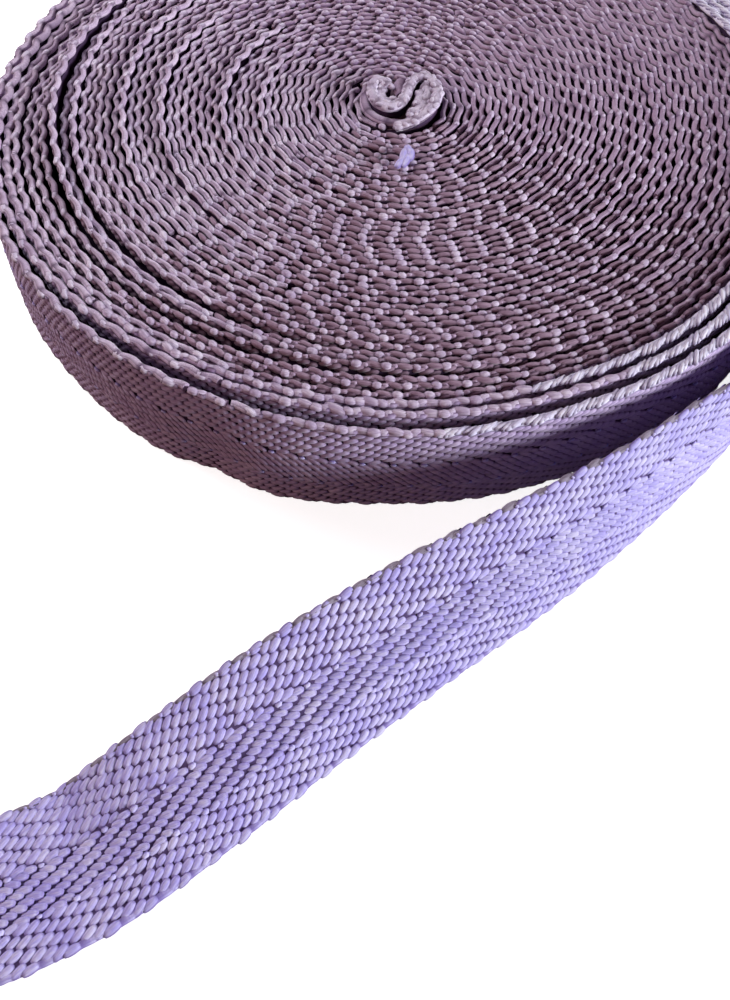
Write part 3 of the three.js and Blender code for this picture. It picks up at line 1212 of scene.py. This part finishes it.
def strap_body(
    name: str, course: Course, every: int, top_inset: float, foot_inset: float
) -> bpy.types.Object:
    """The plain body of a stretch of webbing, under its floats.

    Args:
        name: the piece's name.
        course: its run.
        every: how many of the run's places to go on at a time.
        top_inset: how far it stops below the top edge.
        foot_inset: how far it stops above the foot.

    Returns:
        The piece.
    """
    picked = np.unique(np.append(np.arange(0, len(course.s), every), len(course.s) - 1))
    foot, up, width = course.foot[picked], course.up[picked], course.width[picked]
    out = unit(np.cross(course.along[picked], up))
    half = out * (WEAVE.body / 2.0)
    low = foot + up * foot_inset
    high = foot + up * (width - top_inset)[:, None]
    points = np.stack([low + half, high + half, high - half, low - half], axis=1).reshape(-1, 3)
    count = len(picked)
    start = np.arange(count - 1) * 4
    corners = [(k, (k + 1) % 4) for k in range(4)]
    sides = [np.stack([start + a, start + 4 + a, start + 4 + b, start + b], axis=1) for a, b in corners]
    ends = np.array([[0, 1, 2, 3], [4 * count - 1, 4 * count - 2, 4 * count - 3, 4 * count - 4]])
    return mesh_object(name, points, np.vstack([*sides, ends]))


@dataclass(frozen=True)
class YarnFinish:
    """The look of dyed cotton yarn.

    crown is its colour on top. flank is painted shade, where it goes deep in the cloth, to its sides and
    under its neighbours, and pale a painted highlight along its fibres, also reached where the dye is
    uneven or the tone differs at random.
    """

    name: str
    crown: tuple[float, float, float]
    flank: tuple[float, float, float]
    pale: tuple[float, float, float]
    fibre_depth: float = 0.5
    fibre_relief: float = 0.06
    sheen: float = 0.25

    def build(self, fibre: bpy.types.NodeTree) -> bpy.types.Material:
        """The material, around the shared fibre group."""
        material = bpy.data.materials.new(self.name)
        material.use_nodes = True
        add = Wiring(material.node_tree)
        shader = add.nodes["Principled BSDF"]
        shader.inputs["Sheen Weight"].default_value = self.sheen
        shader.inputs["Sheen Roughness"].default_value = 0.45
        shader.inputs["Specular IOR Level"].default_value = 0.25
        yarn = add.node("ShaderNodeGroup")
        yarn.node_tree = fibre
        for name, colour in (("Crown", self.crown), ("Flank", self.flank), ("Pale", self.pale)):
            yarn.inputs[name].default_value = (*colour, 1.0)
        relief = {"Strength": self.fibre_depth, "Distance": self.fibre_relief * MM}
        bump = add.node("ShaderNodeBump", relief)
        add.join(
            (yarn, "Colour", shader, "Base Color"),
            (yarn, "Roughness", shader, "Roughness"),
            (yarn, "Height", bump, "Height"),
            (bump, "Normal", shader, "Normal"),
        )
        return material


def eased_range(add: Wiring, from_min: float, from_max: float, to_min: float) -> bpy.types.Node:
    """A node that eases a value from one place to another, up to 1."""
    values = {"From Min": from_min, "From Max": from_max, "To Min": to_min}
    return add.node("ShaderNodeMapRange", values, interpolation_type="SMOOTHSTEP")


def fibre_group() -> bpy.types.NodeTree:
    """The shared effect of yarn: fibres that run along it with painted highlights streaked along them,
    flanks and ends darkened as painted shade, and uneven dye.
    """
    tree = bpy.data.node_groups.new("Cotton fibres", "ShaderNodeTree")
    face = tree.interface
    for name in ("Crown", "Flank", "Pale"):
        face.new_socket(name, in_out="INPUT", socket_type="NodeSocketColor")
    for name, kind in (("Colour", "Color"), ("Roughness", "Float"), ("Height", "Float")):
        face.new_socket(name, in_out="OUTPUT", socket_type=f"NodeSocket{kind}")
    add = Wiring(tree)
    given, result = add.node("NodeGroupInput"), add.node("NodeGroupOutput")
    thread = add.node("ShaderNodeUVMap", uv_map="UVMap")
    tone = add.node("ShaderNodeAttribute", attribute_name="tone")
    place = add.node("ShaderNodeTexCoord")
    apart = add.node("ShaderNodeVectorMath", {1: (1.6, 9.0, 1.0)}, operation="MULTIPLY_ADD")
    shift = add.node("ShaderNodeVectorMath", {"Scale": 53.0}, operation="SCALE")
    fibres = add.node("ShaderNodeTexNoise", {"Scale": 1.5, "Detail": 3.0})
    dye = add.node("ShaderNodeTexNoise", {"Scale": 190.0, "Detail": 2.0})
    # Painted highlights: pale streaks along the fibres, with the dye patches and each yarn's random tone,
    # move the colour from the crown towards pale.
    streaks = add.node("ShaderNodeMath", {1: 0.7}, operation="MULTIPLY_ADD")
    patches = add.node("ShaderNodeMath", {1: 0.3}, operation="MULTIPLY")
    varied = add.node("ShaderNodeMath", {1: 0.12}, operation="MULTIPLY_ADD")
    split = add.node("ShaderNodeSeparateXYZ")
    # Painted shade: towards the sides of each float or cord, the colour goes over to the flank colour.
    flank = add.node("ShaderNodeMath", {1: 0.5}, operation="PINGPONG")
    length = add.node("ShaderNodeMath", operation="FRACT")
    rounded = eased_range(add, 0.02, 0.3, 0.0)
    # Painted shade at the ends: darkest at a float's start, where it goes under its neighbour, less at its
    # end; on a cord, once a repeat.
    start = eased_range(add, 0.0, 0.3, 0.15)
    end = eased_range(add, 1.0, 0.84, 0.35)
    ends = add.node("ShaderNodeMath", operation="MULTIPLY")
    both = add.node("ShaderNodeMath", operation="MULTIPLY")
    # Lays the painted shade of the flanks and ends over the lit colour.
    deep = add.node("ShaderNodeMix", data_type="RGBA")
    lit = add.node("ShaderNodeMix", data_type="RGBA")
    lit_share = add.node("ShaderNodeMapRange", {"From Min": 0.45, "From Max": 0.72, "To Max": 0.85})
    rough = add.node("ShaderNodeMapRange", {"To Min": 0.6, "To Max": 0.85})
    add.join(
        (tone, "Fac", shift, 0),
        (thread, "UV", apart, 0),
        (shift, "Vector", apart, 2),
        (apart, "Vector", fibres, "Vector"),
        (place, "Object", dye, "Vector"),
        (dye, "Fac", patches, 0),
        (fibres, "Fac", streaks, 0),
        (patches, 0, streaks, 2),
        (thread, "UV", split, 0),
        (split, "Y", flank, 0),
        (flank, 0, rounded, "Value"),
        (split, "X", length, 0),
        (length, 0, start, "Value"),
        (length, 0, end, "Value"),
        (start, "Result", ends, 0),
        (end, "Result", ends, 1),
        (rounded, "Result", both, 0),
        (ends, 0, both, 1),
        (both, 0, deep, "Factor"),
        (given, "Flank", deep, MIX_FROM),
        (lit, MIXED, deep, MIX_TO),
        (tone, "Fac", varied, 0),
        (streaks, 0, varied, 2),
        (varied, 0, lit_share, "Value"),
        (lit_share, "Result", lit, "Factor"),
        (given, "Crown", lit, MIX_FROM),
        (given, "Pale", lit, MIX_TO),
        (deep, MIXED, result, "Colour"),
        (fibres, "Fac", rough, "Value"),
        (rough, "Result", result, "Roughness"),
        (fibres, "Fac", result, "Height"),
    )
    return tree


@dataclass(frozen=True)
class GroundFinish:
    """The look of the cloth under the floats, where little light comes."""

    name: str = "webbing_ground"
    shade: tuple[float, float, float] = (0.04, 0.022, 0.055)
    lighter: tuple[float, float, float] = (0.09, 0.052, 0.115)

    def build(self) -> bpy.types.Material:
        """The material."""
        material = bpy.data.materials.new(self.name)
        material.use_nodes = True
        add = Wiring(material.node_tree)
        shader = add.nodes["Principled BSDF"]
        shader.inputs["Specular IOR Level"].default_value = 0.1
        shader.inputs["Roughness"].default_value = 0.95
        place = add.node("ShaderNodeTexCoord")
        noise = add.node("ShaderNodeTexNoise", {"Scale": 900.0})
        shades = {MIX_FROM: (*self.shade, 1.0), MIX_TO: (*self.lighter, 1.0)}
        mix = add.node("ShaderNodeMix", shades, data_type="RGBA")
        bump = add.node("ShaderNodeBump", {"Strength": 0.6, "Distance": 0.1 * MM})
        add.join(
            (place, "Object", noise, "Vector"),
            (noise, "Fac", mix, "Factor"),
            (noise, "Fac", bump, "Height"),
            (mix, MIXED, shader, "Base Color"),
            (bump, "Normal", shader, "Normal"),
        )
        return material


# Only the face finish is the yarn's own colour. The others are copies of it with light or shade painted in,
# as their looks say.
YARN_FINISHES = {
    Look.FACE: YarnFinish("lilac_face", (0.45, 0.40, 0.88), (0.21, 0.15, 0.46), (0.78, 0.75, 0.99)),
    Look.EDGE: YarnFinish("lilac_edge", (0.46, 0.36, 0.54), (0.17, 0.10, 0.20), (0.80, 0.71, 0.86)),
    Look.SHADED: YarnFinish("lilac_shaded", (0.38, 0.26, 0.40), (0.13, 0.07, 0.15), (0.62, 0.50, 0.66)),
    Look.DEEP: YarnFinish("lilac_deep", (0.27, 0.23, 0.31), (0.07, 0.05, 0.08), (0.42, 0.38, 0.50)),
    Look.PALE: YarnFinish("lilac_pale", (0.50, 0.42, 0.60), (0.20, 0.14, 0.22), (0.88, 0.81, 0.94)),
    Look.MAROON: YarnFinish("lilac_maroon", (0.27, 0.17, 0.25), (0.09, 0.045, 0.09), (0.46, 0.33, 0.45)),
    Look.WALL: YarnFinish("lilac_wall", (0.45, 0.34, 0.60), (0.20, 0.13, 0.26), (0.72, 0.61, 0.82)),
    Look.WHITE: YarnFinish("lilac_white", (0.68, 0.64, 0.88), (0.18, 0.14, 0.30), (0.94, 0.92, 1.0)),
    Look.WAVE: YarnFinish("lilac_wave", (0.42, 0.31, 0.47), (0.09, 0.045, 0.11), (0.80, 0.69, 0.84)),
}
GROUND = GroundFinish()
# The middle's dark brown is painted shade under the folded start.
MIDDLE_GROUND = GroundFinish("webbing_middle", (0.10, 0.06, 0.09), (0.22, 0.14, 0.18))
LOOSE_GROUND = GroundFinish("webbing_ground_lilac", (0.08, 0.055, 0.15), (0.16, 0.11, 0.26))


@dataclass
class Finishes:
    """The materials, each built once."""

    yarns: dict[Look, bpy.types.Material]
    ground: bpy.types.Material
    middle: bpy.types.Material
    loose_ground: bpy.types.Material

    @classmethod
    def build(cls) -> Finishes:
        """Builds all of them."""
        fibre = fibre_group()
        made = {look: finish.build(fibre) for look, finish in YARN_FINISHES.items()}
        return cls(made, GROUND.build(), MIDDLE_GROUND.build(), LOOSE_GROUND.build())

    def of(self, look: Look) -> bpy.types.Material:
        """The material of a look."""
        return self.yarns[look]


def dress(piece: bpy.types.Object, material: bpy.types.Material | None, node: str) -> None:
    """Gives a piece its material, where it has none yet, its body and the node it stands for.

    Args:
        piece: the piece.
        material: its material, or None for a piece that came with one.
        node: the solid that it replaces.
    """
    if material is not None:
        piece.data.materials.clear()
        piece.data.materials.append(material)
    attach(piece, BODY)
    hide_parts(node)
    LOG.info("%s: %d faces", piece.name, len(piece.data.polygons))


@dataclass(frozen=True)
class Loom:
    """What every stretch of the webbing is woven with."""

    finishes: Finishes
    yarns: YarnField
    cords: CordField


@dataclass
class WovenStretch:
    """A stretch of webbing dressed in its yarns."""

    name: str
    node: str
    course: Course
    loom: Loom
    seed: int

    def face(
        self, label: str, face: Face, rows: range, shape: YarnShape, look: Look, depth: float = 0.45
    ) -> bpy.types.Object:
        """Weaves one face of it.

        Args:
            label: what the piece adds to the stretch's name.
            face: which face.
            rows: the warp yarns, counted from the top edge.
            shape: a float's shape.
            look: its finish.
            depth: how deep the floats reach into the cloth.

        Returns:
            The piece.
        """
        places = Weaver(self.course, self.seed).floats(face, rows, depth)
        finish = self.loom.finishes.of(look)
        piece = self.loom.yarns.spread(f"{self.name}_{label}", shape, places, finish, self.seed)
        dress(piece, None, self.node)
        return piece

    def knots(self, label: str, face: Face) -> bpy.types.Object:
        """Adds the small stitches between the bands of one face."""
        shape = YarnShape("knot", 2, 4, half=False)
        places = Weaver(self.course, self.seed).knots(face)
        finish = self.loom.finishes.of(Look.FACE)
        piece = self.loom.yarns.spread(f"{self.name}_{label}", shape, places, finish, self.seed)
        dress(piece, None, self.node)
        return piece

    def selvedge(
        self, edge: Edge, cords: tuple[Cord, ...], beads: tuple[Bead, ...], slipping: float = 0.0
    ) -> list[bpy.types.Object]:
        """Weaves one selvedge of it.

        Args:
            edge: the top or the foot.
            cords: the cords that its yarns make.
            beads: what stands out from them.
            slipping: the share of the weave's slip.

        Returns:
            The pieces.
        """
        weaver = Weaver(self.course, self.seed + 50, slipping)
        label = f"{self.name}_{edge.name.lower()}_edge"
        pieces = []
        for cord in cords:
            finish = self.loom.finishes.of(cord.look)
            line = weaver.cord(edge, cord)
            pieces.append(self.loom.cords.run(f"{label}_{cord.name}", line, finish))
        for bead in beads:
            finish = self.loom.finishes.of(bead.look)
            places = weaver.selvedge(edge, bead)
            name = f"{label}_{bead.name}"
            pieces.append(self.loom.yarns.spread(name, bead.shape(edge), places, finish, self.seed + 9))
        for piece in pieces:
            dress(piece, None, self.node)
        return pieces


def disc(name: str, rim: np.ndarray, middle: float) -> bpy.types.Object:
    """A disc from its rim to its middle at a height, seen from above."""
    points = np.vstack([rim, [[0.0, 0.0, middle]]])
    count = len(rim)
    order = np.arange(count)
    return mesh_object(name, points, np.stack([order, (order + 1) % count, np.full(count, count)], axis=1))


def core_floor(name: str, winding: Winding) -> bpy.types.Object:
    """The cloth that closes the middle of the roll, under the folded start, a little dished."""
    corners, height, middle, gap = 24, 24.3, 23.9, 0.6
    around = np.radians(np.arange(corners) * 360.0 / corners)
    radius = winding.core_radius - gap
    rim = np.stack([np.cos(around) * radius, np.sin(around) * radius, np.full(corners, height)], axis=1)
    return disc(name, rim, middle)


def roll_floor(name: str, first_turn: Course) -> bpy.types.Object:
    """A dark disc just above what the roll lies on, which paints the deepest shade between the turns."""
    every, drawn_in, height = 4, 0.998, 1.6
    rim = first_turn.foot[::every] * (drawn_in, drawn_in, 0.0) + (0.0, 0.0, height)
    return disc(name, rim, height)


# Each stray float's share of the way, how far aside it lies, its length, and its turn in degrees.
STRAY_FLOATS = (
    (0.16, 0.1, 3.0, 34.0),
    (0.34, 0.95, 3.8, 12.0),
    (0.42, -0.4, 4.6, 6.0),
    (0.62, 0.5, 4.4, -4.0),
    (0.76, -0.5, 3.6, -14.0),
)


def stray_yarn(name: str, loom: Loom) -> bpy.types.Object:
    """A few loose yarns that lie across the turns, near the middle of the roll."""
    start, end = np.array([2.1, -16.0, 26.3]), np.array([0.2, -22.6, 25.9])
    width, height, tone = 1.8, 1.25, 0.8
    along = unit((end - start)[None, :])[0]
    across = np.cross([0.0, 0.0, 1.0], along)
    places = []
    for share, aside, length, turn in STRAY_FLOATS:
        middle = start + (end - start) * share + across * aside
        swung = along * math.cos(math.radians(turn)) + across * math.sin(math.radians(turn))
        places.append((middle, swung, (length, width, height)))
    rows = [np.array(column) for column in zip(*places)]
    up = np.tile([0.0, 0.0, 1.0], (len(places), 1))
    spots = Places(rows[0], rows[1], up, rows[2], np.full(len(places), tone))
    shape = YarnShape("yarn", 6, 8, half=False)
    return loom.yarns.spread(name, shape, spots, loom.finishes.of(Look.FACE), 61)


def fold_knob(name: str, course: Course, loom: Loom) -> bpy.types.Object:
    """The round end of the fold, where it comes up out of the innermost turn."""
    size, inset = np.array([[2.8, 2.6, 2.1]]), 1.0
    foot, along, up, _, width = course.at(course.s[2:3])
    middle = foot + up * (width - inset)[:, None]
    spot = Places(middle, along, up, size, np.ones(1))
    shape = YarnShape("knob", 7, 10, half=False)
    # The pale look is painted light on the knob, which stands proud.
    return loom.yarns.spread(name, shape, spot, loom.finishes.of(Look.PALE), 62)


LEAF = YarnShape("float", 5, 4, fullest=0.54, blunt=0.56)
PLAIN_LEAF = YarnShape("float", 4, 3, fullest=0.54, blunt=0.72)
SMALL_LEAF = YarnShape("float", 3, 3, fullest=0.54, blunt=0.72)


@dataclass
class LooseWebbing:
    """The loose end: its plain body, the yarns of both faces and its selvedges, all one sheet."""

    run: Course
    loom: Loom
    seed: int = 21
    every: int = 4
    top_inset: float = 0.6
    foot_inset: float = 0.5
    front_depth: float = 0.58

    def build(self) -> None:
        body = strap_body("loose_end_cloth", self.run, self.every, self.top_inset, self.foot_inset)
        dress(body, self.loom.finishes.loose_ground, "loose_end")
        loose = WovenStretch("loose_end", "loose_end", self.run, self.loom, self.seed)
        pieces = [
            loose.face("front", Face.OUTER, range(0, 46), LEAF, Look.FACE, self.front_depth),
            loose.face("back", Face.INNER, range(1, 45), PLAIN_LEAF, Look.FACE),
            loose.knots("front_knots", Face.OUTER),
            *loose.selvedge(Edge.TOP, LOOSE_TOP, LOOSE_BEADS),
            *loose.selvedge(Edge.FOOT, LOOSE_FOOT, ()),
        ]


@dataclass
class WoundWebbing:
    """The wound turns, from the rim in to the folded start.

    onward is how far the turns' own edge runs on past the end of the spiral, into the fold, and
    circuits holds the distances from the free end at which the outer turns start.
    """

    run: Course
    winding: Winding
    loom: Loom
    every: int = 2
    top_inset: float = 1.5
    foot_inset: float = 0.8
    onward: float = 6.5
    outer_turns: int = 14

    def build(self) -> None:
        """Builds its pieces and dresses them."""
        body = strap_body("wound_cloth", self.run, self.every, self.top_inset, self.foot_inset)
        dress(body, self.loom.finishes.ground, "roll")
        rounds, samples = self.winding.turns, self.winding.samples_per_turn
        turns = np.linspace(0.0, rounds, int(rounds * samples) + 1)
        circuits = np.interp(np.arange(self.outer_turns), turns, self.run.s[: len(turns)])
        fold_start = float(self.run.s[len(turns) - 1]) + self.onward
        self._walls(circuits)
        self._edges(circuits, fold_start)
        fold = self._stretch("fold", fold_start, float(self.run.s[-1]), 54)
        self._folded_start(fold)
        first_turn = self.run.part(circuits[0], circuits[1])
        # The core floor's dark brown is painted shade.
        dress(core_floor("core_floor", self.winding), self.loom.finishes.middle, "roll")
        dress(roll_floor("roll_floor", first_turn), self.loom.finishes.ground, "roll")
        dress(fold_knob("fold_knob", fold.course, self.loom), None, "roll")
        dress(stray_yarn("stray_yarn", self.loom), None, "roll")

    def _stretch(self, name: str, start: float, end: float, seed: int) -> WovenStretch:
        """The stretch between two distances from the free end."""
        return WovenStretch(name, "roll", self.run.part(start, end), self.loom, seed)

    def _walls(self, circuits: np.ndarray) -> None:
        """The outer faces of the turns, as far down as they show: the wall look paints warm shade on them,
        and the maroon look deeper shade on the turns further in.
        """
        outer = self._stretch("outer_turn", circuits[0], circuits[1], 31)
        outer.face("face", Face.OUTER, range(1, 46), PLAIN_LEAF, Look.WALL)
        outer.knots("knots", Face.OUTER)
        under = self._stretch("second_turns", circuits[1], circuits[3], 41)
        under.face("face", Face.OUTER, range(1, 8), PLAIN_LEAF, Look.WALL)
        deeper = self._stretch("next_turns", circuits[3], circuits[13], 43)
        deeper.face("face", Face.OUTER, range(1, 4), SMALL_LEAF, Look.MAROON)

    def _edges(self, circuits: np.ndarray, fold_start: float) -> None:
        """The selvedges of the turns: the three of the rim, those inside it, and every turn's foot."""
        rim = self._stretch("rim", circuits[0], circuits[3], 51)
        rim.selvedge(Edge.TOP, RIM_TOP, RIM_BEADS)
        wound = self._stretch("wound", circuits[3], fold_start, 52)
        wound.selvedge(Edge.TOP, WOUND_TOP, WOUND_BEADS, 1.0)
        whole = WovenStretch("whole", "roll", self.run, self.loom, 53)
        whole.selvedge(Edge.FOOT, WOUND_FOOT, ())

    def _folded_start(self, fold: WovenStretch) -> None:
        """The selvedges of the folded start, and of the doubled cloth inside it."""
        fold.selvedge(Edge.TOP, FOLD_TOP, FOLD_BEADS)
        inside = [
            ("inner_lump", self.winding.inner_lump, 60, LUMP_TOP, ()),
            ("inner_arc", self.winding.inner_arc, 61, ARC_TOP, ()),
        ]
        for k, rows in enumerate(self.winding.inner_folds):
            inside.append((f"inner_fold_{k + 1}", rows, 55 + k, FOLD_TOP, FOLD_BEADS))
        for name, rows, seed, cords, beads in inside:
            inner = WovenStretch(name, "roll", self.winding.inner_fold(rows), self.loom, seed)
            inner.selvedge(Edge.TOP, cords, beads)


@dataclass(frozen=True)
class Lamp:
    """An area lamp: its direction and height in degrees, its distance and side in metres."""

    name: str
    at: float
    height: float
    away: float
    size: float
    watts: float
    tint: tuple[float, float, float]


@dataclass
class Studio:
    """The camera, the lights, the floor and the backdrop.

    around is the strength of the light from all round, and floor_bounce the floor's colour as the
    cloth sees it, where pale is its colour as the camera sees it.
    """

    lens: float = 34.344
    place: tuple[float, float, float] = (-5.5, -185.0, 161.7)
    pitch: float = 59.1
    roll: float = 1.42
    around: float = 0.03
    around_tint: tuple[float, float, float] = (1.0, 0.44, 0.44)
    pale: tuple[float, float, float] = (0.93, 0.93, 0.93)
    floor_bounce: tuple[float, float, float] = (0.13, 0.11, 0.12)
    floor_glow: float = 0.85
    floor_side: float = 3000.0
    lamps: tuple[Lamp, ...] = (
        Lamp("key", -21.0, 13.5, 1.6, 0.45, 34.0, (0.97, 0.98, 1.0)),
        Lamp("above", 146.0, 42.0, 0.5, 0.3, 1.9, (0.98, 0.95, 1.0)),
        Lamp("left", 205.0, 24.0, 1.0, 0.6, 2.2, (1.0, 0.62, 0.54)),
    )

    def camera(self) -> None:
        """Sets the camera up at the photograph's viewing angle."""
        data = bpy.data.cameras.new("camera")
        data.sensor_fit = "AUTO"
        data.sensor_width = 36.0
        data.lens = self.lens
        data.clip_start = 0.005
        camera = bpy.data.objects.new("camera", data)
        camera.location = Vector(self.place) * MM
        down, roll = math.radians(self.pitch), math.radians(self.roll)
        forward = Vector((0.0, math.cos(down), -math.sin(down)))
        right = Vector((1.0, 0.0, 0.0))
        upward = Vector((0.0, math.sin(down), math.cos(down)))
        turned_right = right * math.cos(roll) + upward * math.sin(roll)
        turned_up = upward * math.cos(roll) - right * math.sin(roll)
        turn = Matrix((turned_right, turned_up, -forward)).transposed()
        camera.rotation_euler = turn.to_euler()
        bpy.context.scene.collection.objects.link(camera)
        bpy.context.scene.camera = camera

    def lamp(self, lamp: Lamp) -> None:
        """Sets a lamp up, facing the roll."""
        data = bpy.data.lights.new(lamp.name, "AREA")
        data.shape = "SQUARE"
        data.size = lamp.size
        data.energy = lamp.watts
        data.color = lamp.tint
        around, above = math.radians(lamp.at), math.radians(lamp.height)
        flat = lamp.away * math.cos(above)
        place = Vector((flat * math.cos(around), flat * math.sin(around), lamp.away * math.sin(above)))
        stand = bpy.data.objects.new(lamp.name, data)
        stand.location = place
        stand.rotation_euler = (-place).to_track_quat("-Z", "Y").to_euler()
        bpy.context.scene.collection.objects.link(stand)

    def floor(self) -> None:
        """A plain pale floor, which looks brighter than the light that it gives back."""
        material = bpy.data.materials.new("floor")
        material.use_nodes = True
        add = Wiring(material.node_tree)
        shader = add.nodes["Principled BSDF"]
        shader.inputs["Roughness"].default_value = 0.95
        shader.inputs["Specular IOR Level"].default_value = 0.0
        shader.inputs["Emission Color"].default_value = (1.0, 1.0, 1.0, 1.0)
        seen = add.node("ShaderNodeLightPath")
        shades = {MIX_FROM: (*self.floor_bounce, 1.0), MIX_TO: (*self.pale, 1.0)}
        tone = add.node("ShaderNodeMix", shades, data_type="RGBA")
        glow = add.node("ShaderNodeMath", {1: self.floor_glow}, operation="MULTIPLY")
        add.join(
            (seen, "Is Camera Ray", tone, "Factor"),
            (tone, MIXED, shader, "Base Color"),
            (seen, "Is Camera Ray", glow, 0),
            (glow, 0, shader, "Emission Strength"),
        )
        side = self.floor_side
        corners = np.array([[-side, -side, 0.0], [side, -side, 0.0], [side, side, 0.0], [-side, side, 0.0]])
        floor = mesh_object("floor", corners, np.array([[0, 1, 2, 3]]))
        floor.data.materials.append(material)

    def world(self) -> None:
        """Soft light from all round, and a pale backdrop where the camera looks past the floor."""
        world = bpy.data.worlds.new("studio")
        world.use_nodes = True
        add = Wiring(world.node_tree)
        sky = add.nodes["Background"]
        sky.inputs["Color"].default_value = (*self.around_tint, 1.0)
        sky.inputs["Strength"].default_value = self.around
        backdrop = add.node("ShaderNodeBackground", {"Color": (*self.pale, 1.0)})
        seen = add.node("ShaderNodeLightPath")
        mixed = add.node("ShaderNodeMixShader")
        add.join(
            (seen, "Is Camera Ray", mixed, "Fac"),
            (sky, "Background", mixed, 1),
            (backdrop, "Background", mixed, 2),
            (mixed, "Shader", add.nodes["World Output"], "Surface"),
        )
        bpy.context.scene.world = world

    def build(self) -> None:
        """Sets all of it up."""
        self.camera()
        self.floor()
        self.world()
        for lamp in self.lamps:
            self.lamp(lamp)
        bpy.context.scene.view_settings.view_transform = "Standard"


def main() -> None:
    """Builds the roll of webbing, piece by piece."""
    logging.basicConfig(level=logging.INFO, format="%(name)s: %(message)s")
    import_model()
    Studio().build()
    loom = Loom(Finishes.build(), YarnField(), CordField())
    winding = Winding()
    loose_run = LooseEnd(winding).course()
    wound_run = winding.course(float(loose_run.s[-1]))
    LOG.info("loose end %.0f mm, wound %.0f mm", loose_run.s[-1], wound_run.s[-1] - wound_run.s[0])
    LooseWebbing(loose_run, loom).build()
    WoundWebbing(wound_run, winding, loom).build()


if __name__ == "__main__":
    main()
